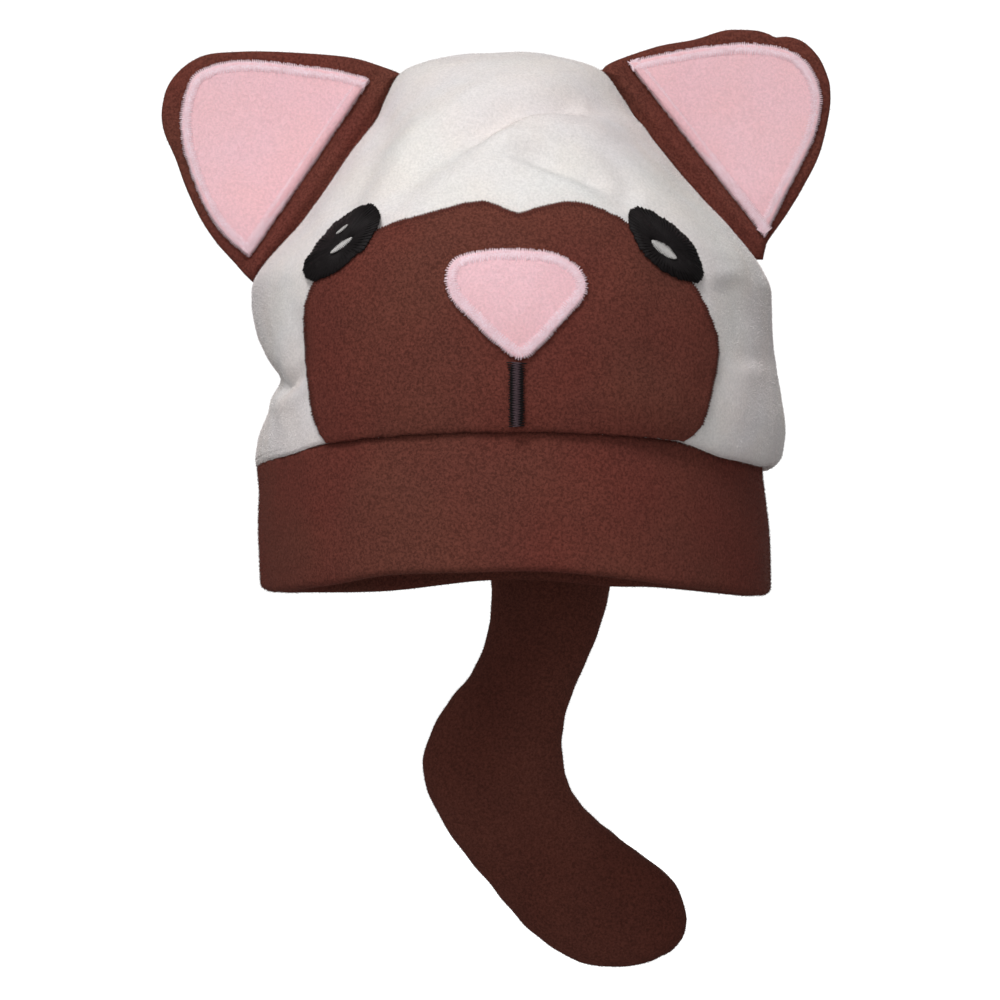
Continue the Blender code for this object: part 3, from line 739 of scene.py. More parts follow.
def muzzle_outline(count):
    """Muzzle in the front view, round to its foot along the seam."""
    top = outline_points(MUZZLE_OUTLINE, MUZZLE_WIDTH, MUZZLE_HEIGHT, 0, FRONT_SEAM, 8, False)
    near_foot = 1 - smooth((top[:, 1] - FRONT_SEAM) / (0.25 * MUZZLE_HEIGHT))
    top[:, 1] -= near_foot * (seam_drop(top[:, 0]) + MUZZLE_TUCK)
    x = np.linspace(top[-1, 0], top[0, 0], 80)[1:-1]
    foot = np.stack([x, FRONT_SEAM - seam_drop(x) - MUZZLE_TUCK], -1)
    return evenly(np.concatenate([top, foot]), count, closed=True)


def ragged(outline, hub, amount=0.00022):
    """Outline with the small unevenness of cut fleece."""
    normal = outward_normals(outline, hub)
    spots = np.stack([outline[:, 0], np.zeros(len(outline)), outline[:, 1]], -1)
    uneven = lumps(spots, 0.0024, 21) + 0.6 * lumps(spots, 0.0009, 22)
    return outline + normal * (amount * uneven)[:, None]


def edge_profile(away, thickness, edge):
    """Height of a patch over its underside, rounded down at its edge."""
    share = np.clip(away / edge, 0, 1)
    return thickness * np.sqrt(1 - (1 - share) ** 2)


def patch_mesh(name, outline, hub, thickness, edge, shares, lay, away, unevenness=0.1):
    """Closed patch of cloth; lay puts places of the front view under it, and away is the way off them."""
    reach = np.linalg.norm(outline - hub, axis=1)
    under, over = [], []
    for share in shares:
        base = lay(hub + (outline - hub) * share)
        height = edge_profile((1 - share) * reach, thickness, edge)
        soft = unevenness * thickness * lumps(base, 0.006, 2)
        over.append(base + away(base) * (height + soft * smooth((1 - share) * reach / 0.003))[:, None])
        under.append(base)
    foot = lay(hub[None])
    top = foot + away(foot) * thickness
    return shell(name, under[::-1] + over[1:], first_hub=foot[0], last_hub=top[0])


def edge_shares(outline, hub, count):
    """Shares at which a patch's rings lie, close together at the edge."""
    typical = float(np.median(np.linalg.norm(outline - hub, axis=1)))
    near = [1 - step / typical for step in EDGE_STEPS]
    return near + list(np.linspace(near[-1], 0, count + 1)[1:-1])


def outward_normals(line, hub):
    """Directions in the front view square to a closed outline, away from its middle."""
    run = np.roll(line, -1, axis=0) - np.roll(line, 1, axis=0)
    normal = np.stack([run[:, 1], -run[:, 0]], -1)
    normal /= np.linalg.norm(normal, axis=1, keepdims=True)
    facing = np.sum(normal * (line - hub), axis=1)
    return normal * (1 if facing.mean() > 0 else -1)


def adder(tree):
    """Function that adds a node to a tree, with links or values on its inputs."""

    def add(kind, inputs=None, **settings):
        node = tree.nodes.new(kind)
        for name, setting in settings.items():
            setattr(node, name, setting)
        for place, part in (inputs or {}).items():
            if isinstance(part, bpy.types.NodeSocket):
                tree.links.new(part, node.inputs[place])
            else:
                node.inputs[place].default_value = part
        return node

    return add


def new_tree(name, inputs, outputs=None, kind="GeometryNodeTree"):
    """Tree with named inputs and outputs, what adds its nodes, and what it is given."""
    tree = bpy.data.node_groups.new(name, kind)
    for way, sockets in (("INPUT", inputs), ("OUTPUT", outputs or {"Geometry": "Geometry"})):
        for label, socket in sockets.items():
            tree.interface.new_socket(label, in_out=way, socket_type="NodeSocket" + socket)
    add = adder(tree)
    return tree, add, add("NodeGroupInput").outputs


def finish_tree(add, shape, material):
    """End of a tree of Geometry Nodes: real geometry in its material."""
    real = add("GeometryNodeRealizeInstances", {"Geometry": shape}).outputs["Geometry"]
    painted = add("GeometryNodeSetMaterial", {"Geometry": real, "Material": material}).outputs["Geometry"]
    add("NodeGroupOutput", {"Geometry": painted})


def stitch_tree():
    """Geometry Nodes that zigzag a thread along a line of points."""
    sizes = {"Thread radius": "Float", "Sides": "Int", "Arch": "Float", "Drop": "Float", "Wander": "Float"}
    tree, add, given = new_tree(
        "Zigzag stitches",
        {"Geometry": "Geometry", "Stitches": "Int", **sizes, "Seed": "Int", "Material": "Material"},
    )

    def value(operation, *parts):
        return add("ShaderNodeMath", dict(enumerate(parts)), operation=operation).outputs[0]

    def stored(name):
        node = add("GeometryNodeInputNamedAttribute", {"Name": name}, data_type="FLOAT_VECTOR")
        return node.outputs["Attribute"]

    def scaled(vector, factor):
        return add("ShaderNodeVectorMath", {0: vector, "Scale": factor}, operation="SCALE").outputs[0]

    line = add("GeometryNodeMeshToCurve", {"Mesh": given["Geometry"]}).outputs["Curve"]
    count = value("MULTIPLY", given["Stitches"], STITCH_POINTS)
    even = add("GeometryNodeResampleCurve", {"Curve": line, "Count": count}).outputs["Curve"]
    index = add("GeometryNodeInputIndex").outputs["Index"]
    phase = value("SUBTRACT", value("MODULO", index, STITCH_POINTS), 3.5)
    swing = value("DIVIDE", value("SUBTRACT", value("ABSOLUTE", phase), 2), 1.5)
    out = value("MULTIPLY", swing, -1)
    lift = value("MULTIPLY", given["Arch"], value("SUBTRACT", 1, value("MULTIPLY", swing, swing)))
    sink = value("MULTIPLY", given["Drop"], value("MAXIMUM", out, 0))
    limits = {2: -1, 3: 1, "ID": index, "Seed": given["Seed"]}
    stray = add("FunctionNodeRandomValue", limits, data_type="FLOAT")
    reach = value("MULTIPLY", value("MULTIPLY", stray.outputs[1], given["Wander"]), out)
    across = scaled(stored("across"), value("ADD", out, reach))
    upward = scaled(stored("upward"), value("SUBTRACT", lift, sink))
    offset = add("ShaderNodeVectorMath", {0: across, 1: upward}, operation="ADD").outputs[0]
    moved = add("GeometryNodeSetPosition", {"Geometry": even, "Offset": offset}).outputs["Geometry"]
    ring = {"Resolution": given["Sides"], "Radius": given["Thread radius"]}
    profile = add("GeometryNodeCurvePrimitiveCircle", ring).outputs["Curve"]
    shape = {"Curve": moved, "Profile Curve": profile, "Fill Caps": True}
    tube = add("GeometryNodeCurveToMesh", shape).outputs["Mesh"]
    soft = add("GeometryNodeSetShadeSmooth", {"Geometry": tube}).outputs["Geometry"]
    finish_tree(add, soft, given["Material"])
    return tree


def pile_tree():
    """Geometry Nodes that scatter short brushed fibres over a surface."""
    sizes = {"Density": "Float", "Fibre length": "Float", "Fibre width": "Float", "Lean": "Float"}
    tree, add, given = new_tree(
        "Brushed pile", {"Geometry": "Geometry", **sizes, "Seed": "Int", "Material": "Material"}
    )
    seed = given["Seed"]
    ground = {"Mesh": given["Geometry"], "Density": given["Density"], "Seed": seed}
    roots = add("GeometryNodeDistributePointsOnFaces", ground).outputs
    blade = add("GeometryNodeMeshCircle", {"Vertices": 3, "Radius": 1}, fill_type="NGON").outputs["Mesh"]
    upright = {
        "Geometry": blade,
        "Translation": (0, 0, 1 / 3),
        "Rotation": (0, -math.pi / 2, 0),
        "Scale": (2 / 3, 1 / math.sqrt(3), 1),
    }
    stood = add("GeometryNodeTransform", upright).outputs["Geometry"]
    limits = {"Min": (-1, -1, -math.pi), "Max": (1, 1, math.pi), "Seed": seed}
    tilt = add("FunctionNodeRandomValue", limits, data_type="FLOAT_VECTOR").outputs[0]
    weights = add("ShaderNodeCombineXYZ", {"X": given["Lean"], "Y": given["Lean"], "Z": 1}).outputs[0]
    leaned = add("ShaderNodeVectorMath", {0: tilt, 1: weights}, operation="MULTIPLY").outputs[0]
    turn = {"Rotation": roots["Rotation"], "Rotate By": leaned}
    turned = add("FunctionNodeRotateRotation", turn, rotation_space="LOCAL").outputs["Rotation"]
    grown = add("FunctionNodeRandomValue", {2: 0.55, 3: 1.25, "Seed": seed}, data_type="FLOAT").outputs[1]
    tall = add("ShaderNodeMath", {0: grown, 1: given["Fibre length"]}, operation="MULTIPLY").outputs[0]
    width = given["Fibre width"]
    size = add("ShaderNodeCombineXYZ", {"X": width, "Y": width, "Z": tall}).outputs[0]
    fibres = {"Points": roots["Points"], "Instance": stood, "Rotation": turned, "Scale": size}
    planted = add("GeometryNodeInstanceOnPoints", fibres).outputs["Instances"]
    finish_tree(add, planted, given["Material"])
    return tree


TREES = {"Zigzag stitches": stitch_tree, "Brushed pile": pile_tree}


def grown_by(tree_name, name, mesh, **values):
    """Plain mesh that a tree of Geometry Nodes makes from a mesh."""
    tree = bpy.data.node_groups.get(tree_name) or TREES[tree_name]()
    thing = loose_object(name, mesh)
    maker = thing.modifiers.new(tree.name, "NODES")
    maker.node_group = tree
    for socket in tree.interface.items_tree:
        key = socket.name.lower().replace(" ", "_")
        if key in values:
            maker[socket.identifier] = values[key]
    return settled(thing)


def stitched(
    name,
    line,
    across,
    upward,
    material,
    closed=True,
    pitch=None,
    arch_height=0.0002,
    drop=0,
    wander=0.12,
):
    """Piece of thread in a zigzag along a line, reaching across it to either side."""
    stitching = bpy.context.scene.hat_stitching
    count = len(line)
    edges = [(step, step + 1) for step in range(count - 1)] + [(count - 1, 0)] * closed
    run = sum(np.linalg.norm(line[start] - line[end]) for start, end in edges)
    mesh = bpy.data.meshes.new(name)
    mesh.from_pydata(line.tolist(), edges, [])
    for label, values in (("across", across), ("upward", upward)):
        layer = mesh.attributes.new(label, "FLOAT_VECTOR", "POINT")
        layer.data.foreach_set("vector", np.asarray(values, np.float32).ravel())
    zigzag = grown_by(
        "Zigzag stitches",
        name,
        mesh,
        stitches=int(run / (pitch or stitching.edging_pitch)),
        thread_radius=stitching.thread / 2,
        sides=5,
        arch=arch_height,
        drop=drop,
        wander=wander,
        seed=len(name),
        material=material,
    )
    return add_piece(name, zigzag, material)


def add_pile(name, mesh, density, material, seed, share=1.0):
    """Brushed fibres over a piece, as a piece of their own."""
    cloth = bpy.context.scene.hat_cloth
    fibres = grown_by(
        "Brushed pile",
        name,
        mesh.copy(),
        density=density,
        fibre_length=cloth.pile_length * share,
        fibre_width=cloth.pile_width,
        lean=1.0,
        seed=seed,
        material=material,
    )
    return add_piece(name, fibres, material)


def pile_group():
    """Shader group of a brushed fleece: fine specks, soft patches and a height."""
    found = bpy.data.node_groups.get("Fleece pile")
    if found:
        return found
    inputs = {"Grain size": "Float", "Patch size": "Float", "Contrast": "Float"}
    outputs = {"Specks": "Float", "Patches": "Float", "Regions": "Float", "Height": "Float"}
    group, add, given = new_tree("Fleece pile", inputs, outputs, "ShaderNodeTree")
    place = add("ShaderNodeTexCoord").outputs["Object"]

    def cloud(part, size, detail, distortion):
        scale = add("ShaderNodeMath", {0: part, 1: size}, operation="DIVIDE").outputs[0]
        texture = {"Vector": place, "Scale": scale, "Detail": detail, "Distortion": distortion}
        return add("ShaderNodeTexNoise", texture).outputs[0]

    def spread(values, low, high):
        return add("ShaderNodeMapRange", {"Value": values, "From Min": low, "From Max": high}).outputs[0]

    grain = cloud(1, given["Grain size"], 4, 0.6)
    specks = {0: spread(grain, 0.37, 0.63), 1: given["Contrast"]}
    patches = cloud(1, given["Patch size"], 2, 0.2)
    regions = cloud(1 / 2.6, given["Patch size"], 1, 0)
    add(
        "NodeGroupOutput",
        {
            "Specks": add("ShaderNodeMath", specks, operation="MULTIPLY").outputs[0],
            "Patches": spread(patches, 0.3, 0.7),
            "Regions": spread(regions, 0.35, 0.65),
            "Height": grain,
        },
    )
    return group


def mixed(add, factor, first, second, blend="MIX"):
    """Colour mixed from two by a factor; each is a socket or a colour."""
    colours = {0: factor, 6: first, 7: second}
    return add("ShaderNodeMix", colours, data_type="RGBA", blend_type=blend).outputs[2]


def toned(colour, factor, warmth=1.0):
    """Colour made lighter or darker, and warmer."""
    red, green, blue = colour
    return (min(1, red * factor * warmth), min(1, green * factor), min(1, blue * factor / warmth), 1)


def fibrous(name, pile, tones, blush, finish, relief):
    """Material of fibres: specks and patches of several tones, and a relief.

    tones are two pairs, each from dark to light, and blush tints soft regions.
    """
    found = bpy.data.materials.get(name)
    if found:
        return found
    material = bpy.data.materials.new(name)
    material.use_nodes = True
    add = adder(material.node_tree)
    link = material.node_tree.links.new
    made = add("ShaderNodeGroup", pile, node_tree=pile_group()).outputs
    specked, warm = (mixed(add, made["Specks"], dark, light) for dark, light in tones)
    plain = mixed(add, made["Patches"], specked, warm)
    if blush:
        plain = mixed(add, made["Regions"], plain, blush + (1,), "MULTIPLY")
    shader = material.node_tree.nodes["Principled BSDF"].inputs
    for key, setting in finish.items():
        shader[key].default_value = setting
    link(plain, shader["Base Color"])
    bump = add("ShaderNodeBump", {**relief, "Height": made["Height"]})
    link(bump.outputs["Normal"], shader["Normal"])
    return material


def fleece(name, colour, blush, dark=0.72, light=1.29, patch=1.06, sheen=0.2):
    """Brushed fleece in one colour, with its specks and soft patches."""
    colour = tuple(colour)
    pile = {"Grain size": 0.0008, "Patch size": 0.018, "Contrast": 1}
    plain = toned(colour, dark), toned(colour, light)
    warm = toned(colour, dark * patch, 1.03), toned(colour, light * patch, 1.03)
    finish = {
        "Roughness": 0.95,
        "Specular IOR Level": 0.1,
        "Sheen Weight": sheen,
        "Sheen Roughness": 0.6,
        "Sheen Tint": toned(colour, 1.6),
    }
    relief = {"Strength": 0.35, "Distance": 0.0006}
    return fibrous(name, pile, (plain, warm), blush, finish, relief)


def thread(tint, shine, light=1.25):
    """Spun embroidery thread in one of the hat's thread colours."""
    colour = tuple(getattr(bpy.context.scene.hat_colours, tint + "_thread"))
    pile = {"Grain size": 0.0004, "Patch size": 0.004, "Contrast": 0.8}
    plain = toned(colour, 0.8), toned(colour, light)
    lit = toned(colour, 0.9), toned(colour, 1.16 * light)
    finish = {"Roughness": 0.62, "Specular IOR Level": shine}
    relief = {"Strength": 0.3, "Distance": 0.0001}
    return fibrous(tint + " thread", pile, (plain, lit), None, finish, relief)


def cream_fleece():
    """Cloth of the crown."""
    cream = bpy.context.scene.hat_colours.cream
    return fleece("cream fleece", cream, (1.0, 0.962, 0.985), dark=0.92, light=1.05, patch=0.99, sheen=0.05)


def brown_fleece():
    """Cloth of the band, muzzle and ears."""
    return fleece("brown fleece", bpy.context.scene.hat_colours.brown, (1.05, 0.86, 0.91))


def tail_fleece_painted_shade():
    """Cloth of the tail, darker in soft random patches: painted shade for the tail hanging behind the band.
    """
    return fleece("tail fleece", bpy.context.scene.hat_colours.brown, (0.76, 0.70, 0.70))


def pink_fleece():
    """Cloth of the nose and inner ears."""
    pink = bpy.context.scene.hat_colours.pink
    return fleece("pink fleece", pink, (1.0, 0.975, 0.98), dark=0.92, light=1.05, patch=0.98, sheen=0.05)


def pink_thread():
    """Thread that edges the nose and inner ears."""
    return thread("pink", 0.1, 1.1)


def black_thread():
    """Thread of the eyes and mouth."""
    return thread("black", 0.2)


class HAT_OT_crown(bpy.types.Operator):
    """Sew the front and back halves of the crown"""

    bl_idname = "cat_hat.crown"
    bl_label = "Crown"
    bl_options = {"REGISTER", "UNDO"}

    def execute(self, context):
        cloth = context.scene.hat_cloth
        for name, first_angle, columns, rows, density in (
            ("front", math.pi, 240, 120, 2.6e6),
            ("back", 0.0, 160, 80, 1.3e6),
        ):
            outer = self.half(cloth, name, first_angle, columns, rows)
            if name == "front":
                corners = [corner.co for corner in outer.vertices]
                SKIN[name] = BVHTree.FromPolygons(corners, [face.vertices for face in outer.polygons])
            solid = thickened(name, outer.copy(), FLEECE)
            piece = add_piece(f"crown_{name}_cloth", solid, cream_fleece(), f"crown_{name}")
            add_pile(f"crown_{name}_pile", outer, density, cream_fleece(), 3, 0.7)
        return {"FINISHED"}

    def half(self, cloth, name, first_angle, columns, rows):
        """Outer face of one half, from its seat on the band to the top."""
        share = np.linspace(0, 1, columns)
        angle = first_angle + math.pi * (share - 0.05 * np.sin(2 * math.pi * share))
        angle = angle[None, :]
        stops = np.linspace(0, len(CROWN_RINGS) - 1, 1500)
        profile = crown_skin(np.full(stops.shape, first_angle + math.pi / 2), stops, cloth)
        run = np.concatenate([[0], np.cumsum(np.linalg.norm(np.diff(profile, axis=0), axis=1))])
        position = np.interp(np.linspace(0, run[-1], rows), run, stops)[:, None]
        skin = crown_skin(angle, position, cloth)
        seat = band_face(angle, np.ones(angle.shape), BAND_WALL / 2)
        seat[..., 2] += GAP
        turn = []
        for step in (0, 0.33, 0.66):
            sag = np.array((0, 0, -0.0002)) * math.sin(math.pi * step)
            turn.append(seat + (skin[:1] - seat) * step + sag)
        grid = np.concatenate(turn + [skin])
        side = -1 if name == "front" else 1
        grid[..., 1] = side * np.maximum(side * grid[..., 1], GAP / 2)
        faces = grid_faces(len(grid), columns, False)
        return to_mesh(name, grid.reshape(-1, 3), faces)


class HAT_OT_band(bpy.types.Operator):
    """Fold and pad the doubled band"""

    bl_idname = "cat_hat.band"
    bl_label = "Band"
    bl_options = {"REGISTER", "UNDO"}

    def execute(self, context):
        cloth = context.scene.hat_cloth
        angle = np.linspace(0, 2 * math.pi, 420, endpoint=False)
        hem = self.hem(angle)
        rings = []
        for inset, height in self.section():
            rise = np.full(angle.shape, height / BAND_HEIGHT)
            ring = band_face(angle, rise, inset)
            middle = math.sin(math.pi * min(1, max(0, height / BAND_HEIGHT)))
            outer = inset < BAND_WALL / 2
            swell = cloth.padding * middle * (1 if outer else -0.4)
            top = bell(height - BAND_HEIGHT, 0.007)
            gathers = np.sin(52 * angle + 2 * np.sin(7 * angle))
            swell = swell + (1 if outer else -1) * cloth.pucker * gathers * top
            swell = swell + 0.5 * cloth.slack * lumps(ring, 0.017, 4)
            ring[:, :2] += np.stack([np.cos(angle), np.sin(angle)], -1) * np.asarray(swell)[..., None]
            back_seam = bell(ring[:, 0], 0.0012) * (ring[:, 1] > 0) * outer
            ring[:, 1] -= 0.0009 * back_seam
            ring[:, 2] -= hem * (1 - height / BAND_HEIGHT)
            ring[:, 0] += LEFT_DRAW * bell(angle - math.pi, 0.6) * smooth((BAND_HEIGHT - height) / 0.012)
            rings.append(ring)
        mesh = shell("band_cloth", rings, around=True)
        piece = add_piece("band_cloth", mesh, brown_fleece(), "band")
        add_pile("band_pile", mesh, 1.7e6, brown_fleece(), 5)
        return {"FINISHED"}

    def hem(self, angle):
        """How far the hem hangs below its even arch, all the way round."""
        across = round_point(angle, BAND_ROUND)[0]
        front, back = (
            np.interp(across, [spot.across for spot in line], [spot.drop for spot in line])
            for line in (FRONT_HEM, BACK_HEM)
        )
        drop = HEM_ARCH * np.where(np.sin(angle) < 0, front, back)
        window = np.hanning(25)
        looped = np.concatenate([drop[-12:], drop, drop[:12]])
        return np.convolve(looped, window / window.sum(), "valid")

    def section(self):
        """Way round the band's section: inset from the outer face, and height."""
        radius = BAND_WALL / 2
        straight = BAND_HEIGHT - 2 * radius
        way = []
        for share in np.linspace(1, 0, 26):
            way.append((0, radius + straight * share))
        for turn in np.linspace(0, math.pi, 12)[1:-1]:
            way.append((radius - radius * math.cos(turn), radius - radius * math.sin(turn)))
        for share in np.linspace(0, 1, 20):
            way.append((BAND_WALL, radius + straight * share))
        for turn in np.linspace(0, math.pi, 8)[1:-1]:
            way.append((radius + radius * math.cos(turn), radius + straight + radius * math.sin(turn)))
        return way


class HAT_OT_muzzle(bpy.types.Operator):
    """Lay the muzzle patch and stitch its edge"""

    bl_idname = "cat_hat.muzzle"
    bl_label = "Muzzle"
    bl_options = {"REGISTER", "UNDO"}

    def execute(self, context):
        hub = np.array((0, FRONT_SEAM + MUZZLE_HEIGHT / 2))
        outline = ragged(muzzle_outline(500), hub, 0.00036)
        shares = edge_shares(outline, hub, 26)
        lift = GAP + EASE
        lay = on_crown(lift, PATCH)
        mesh = patch_mesh("muzzle_cloth", outline, hub, PATCH, MUZZLE_EDGE, shares, lay, outwards)
        piece = add_piece("muzzle_cloth", mesh, brown_fleece(), "muzzle_patch")
        add_pile("muzzle_pile", mesh, 2.8e6, brown_fleece(), 7)
        top = outline[outline[:, 1] > FRONT_SEAM + 0.002]
        start = int(np.argmax(np.linalg.norm(np.roll(top, 1, axis=0) - top, axis=1)))
        top = np.roll(top, -start, axis=0)
        edging(
            "muzzle_edging",
            top,
            hub,
            on_crown(lift + PATCH * THREAD_SEAT),
            outwards,
            MUZZLE_STITCH,
            thread("brown", 0.05),
            PATCH * THREAD_DROP,
            closed=False,
            pitch=MUZZLE_PITCH,
        )
        return {"FINISHED"}


def edging(name, outline, hub, lay, away, half_width, material, drop, closed=True, pitch=None):
    """Zigzag stitches over the edge of a patch; lay and away are as for the patch."""
    normal = outward_normals(outline, hub)
    if not closed:
        normal[0], normal[-1] = normal[1], normal[-2]
    middle = outline - normal * half_width * EDGING_INWARDS
    inner, outer = (lay(middle + way * normal * half_width) for way in (-1, 1))
    line = (inner + outer) / 2
    across = (outer - inner) / 2
    stitched(name, line, across, away(line), material, closed, pitch, 0.00005, drop, 0.16)


class HAT_OT_nose(bpy.types.Operator):
    """Lay the nose patch and stitch its edge"""

    bl_idname = "cat_hat.nose"
    bl_label = "Nose"
    bl_options = {"REGISTER", "UNDO"}

    def execute(self, context):
        stitching = context.scene.hat_stitching
        tip = FRONT_SEAM + NOSE_RISE
        hub = np.array((NOSE_SHIFT, tip + NOSE_HEIGHT * 0.6))
        line = outline_points(NOSE_OUTLINE, NOSE_WIDTH, NOSE_HEIGHT, NOSE_SHIFT, tip, 10, True)
        outline = ragged(evenly(line, 240, closed=True), hub)
        inner = hub + (outline - hub) * 0.99
        shares = edge_shares(inner, hub, 12)
        lay = on_crown(OVER_MUZZLE, THIN_PATCH)
        mesh = patch_mesh("nose_cloth", inner, hub, THIN_PATCH, PATCH_EDGE, shares, lay, outwards)
        piece = add_piece("nose_cloth", mesh, pink_fleece(), "nose")
        add_pile("nose_pile", mesh, 3.0e6, pink_fleece(), 11, 0.7)
        edging(
            "nose_edging",
            outline,
            hub,
            on_crown(OVER_MUZZLE + THIN_PATCH * THREAD_SEAT),
            outwards,
            stitching.edging_width / 2,
            pink_thread(),
            THIN_PATCH * THREAD_DROP,
        )
        return {"FINISHED"}


class HAT_OT_mouth(bpy.types.Operator):
    """Stitch the bar under the nose"""

    bl_idname = "cat_hat.mouth"
    bl_label = "Mouth"
    bl_options = {"REGISTER", "UNDO"}

    def execute(self, context):
        stitching = context.scene.hat_stitching
        black = black_thread()
        # Lighter plum thread down the middle of the bar: a painted highlight on the ridge of the stitches
        plum = thread("plum", 0.25)
        top = FRONT_SEAM + NOSE_RISE - GAP - EASE
        hub = np.array((NOSE_SHIFT, top - MOUTH_LENGTH / 2))
        angle = np.linspace(0, 2 * math.pi, 72, endpoint=False)
        across, up = round_point(angle, 5)
        outline = hub + np.stack([across * MOUTH_WIDTH * 0.44, up * MOUTH_LENGTH * 0.48], -1)
        shares = [1, 0.97, 0.9, 0.75, 0.5, 0.25]
        thickness = PATCH * 0.55
        lay = on_crown(OVER_MUZZLE, thickness)
        mesh = patch_mesh("mouth_base", outline, hub, thickness, PATCH_EDGE, shares, lay, outwards)
        add_piece("mouth_base", mesh, black, "mouth_line")
        heights = np.linspace(top - 0.0004, top - MOUTH_LENGTH + 0.0004, 60)
        spots = np.stack([np.full(60, NOSE_SHIFT), heights], -1)
        line = laid(spots, OVER_MUZZLE + PATCH * 0.5, 0)
        half = np.zeros((60, 3))
        half[:, 0] = MOUTH_WIDTH / 2 * (1 + 0.3 * bell(heights - heights[0], 0.0012))
        raised = line + 0.0003 * outwards(line)
        for name, middle, reach, tone in (
            ("mouth_stitches", line, half, black),
            ("mouth_ridge", raised, half * 0.5, plum),
        ):
            stitched(
                name,
                middle,
                reach,
                outwards(middle),
                tone,
                closed=False,
                pitch=stitching.satin_pitch * 0.9,
                arch_height=0.0004,
                wander=0.1,
            )
        return {"FINISHED"}


def outside(spots, outline):
    """Distance of places outside an outline, 0 for those inside."""
    x, z = spots[:, 0], spots[:, 1]
    following = np.roll(outline, -1, axis=0)
    inside = np.zeros(len(spots), bool)
    for start, end in zip(outline, following):
        crosses = (start[1] > z) != (end[1] > z)
        run = end[1] - start[1] if end[1] != start[1] else 1
        inside ^= crosses & (start[0] + (z - start[1]) / run * (end[0] - start[0]) > x)
    away = line_distance(x, z, np.concatenate([outline, outline[:1]]))[0]
    return np.where(inside, 0, away)


def tilted_oval(middle, long_side, short_side, degrees, power, count):
    """Oval in the front view, turned up towards +X."""
    turn = math.radians(degrees)
    along, off = round_point(np.linspace(0, 2 * math.pi, count, endpoint=False), power)
    along, off = along * long_side / 2, off * short_side / 2
    x = middle[0] + along * math.cos(turn) - off * math.sin(turn)
    return np.stack([x, middle[1] + along * math.sin(turn) + off * math.cos(turn)], -1)


class HAT_OT_eyes(bpy.types.Operator):
    """Stitch the eyes with their pale slits"""

    bl_idname = "cat_hat.eyes"
    bl_label = "Eyes"
    bl_options = {"REGISTER", "UNDO"}

    def execute(self, context):
        for eye in EYES:
            self.stitch(context, eye, black_thread())
        return {"FINISHED"}

    def lifts(self, spots):
        """Lift of an eye's underside, which steps up onto the muzzle."""
        step = 1 - smooth((outside(spots, muzzle_outline(160)) - STEP_LEDGE) / STEP_RUN)
        return GAP + EASE + step * (OVER_MUZZLE - GAP - EASE)

    def stitch(self, context, eye, black):
        """One eye: its padding, the satin stitches over it and the slits."""
        stitching = context.scene.hat_stitching
        count = 220
        spots = [(spot.across * CROWN_SIDE, front_height(spot.rise)) for spot in eye.rim]
        rim = evenly(curve_through(spots, 16, closed=True), count, closed=True)
        rim = ragged(rim, rim.mean(axis=0), 0.0005)
        main = eye.slits[0]
        middle = np.array((main.across * CROWN_SIDE, front_height(main.rise)))
        slit = tilted_oval(middle, 0.8 * main.length, 0.7 * main.width, main.tilt, 2, count)
        slit = self.matched(slit, rim, middle)
        under, over = [], []
        for share in EYE_SHARES:
            spots = rim + (slit - rim) * (0.012 + 0.988 * share)
            height = 0.8 * EYE_RISE * (1 - (2 * share - 1) ** 2)
            base = laid(spots, self.lifts(spots), height)
            under.append(base)
            over.append(base + outwards(base) * height)
        name = f"eye_{eye.name}"
        mesh = shell(f"{name}_base", under[::-1] + over[1:-1], around=True)
        add_piece(f"{name}_base", mesh, black, name)
        add_pile(f"{name}_fuzz", mesh, 5e6, black, 23, 0.6)
        ends = rim + (slit - rim) * 0.01
        outer, inner = (laid(spots, self.lifts(spots) + THREAD_CLEAR, 0) for spots in (ends, slit))
        line = (inner + outer) / 2
        stitched(
            f"{name}_stitches",
            line,
            (outer - inner) / 2,
            outwards(line),
            black,
            pitch=stitching.satin_pitch,
            arch_height=EYE_RISE,
            wander=0.03,
        )
        for number, part in enumerate(eye.slits):
            lift = EYE_RISE + (UPPER_SLIT_CLEAR if number else SLIT_CLEAR)
            self.fill_slit(f"{name}_slit_{number + 1}", part, lift)

    def matched(self, slit, rim, middle):
        """Slit's points turned so that each lies in the same direction as its rim point."""
        rim_turn = np.arctan2(*(rim - middle).T[::-1])
        slit_turn = np.arctan2(*(slit - middle).T[::-1])
        order = np.argsort(slit_turn)
        turns, points = slit_turn[order], slit[order]
        return np.stack([np.interp(rim_turn, turns, column, period=2 * math.pi) for column in points.T], -1)

    def fill_slit(self, name, slit, lift):
        """Pale stitches in a slit of an eye."""
        pitch = bpy.context.scene.hat_stitching.satin_pitch * 0.62
        turn = math.radians(slit.tilt)
        middle = np.array((slit.across * CROWN_SIDE, front_height(slit.rise)))
        along = np.array((math.cos(turn), math.sin(turn)))
        off = np.array((-math.sin(turn), math.cos(turn)))
        share = np.linspace(-1, 1, 30)
        spots = middle + share[:, None] * slit.length / 2 * along
        widths = slit.width / 2 * (1 - (0.97 * share) ** 2) ** 0.75
        lifts = self.lifts(spots) + lift
        up, down = (laid(spots + way * widths[:, None] * off, lifts, 0) for way in (1, -1))
        line = (up + down) / 2
        stitched(
            name,
            line,
            (up - down) / 2,
            outwards(line),
            thread("pale", 0.1),
            closed=False,
            pitch=pitch,
            arch_height=0.0002,
            wander=0.18,
        )


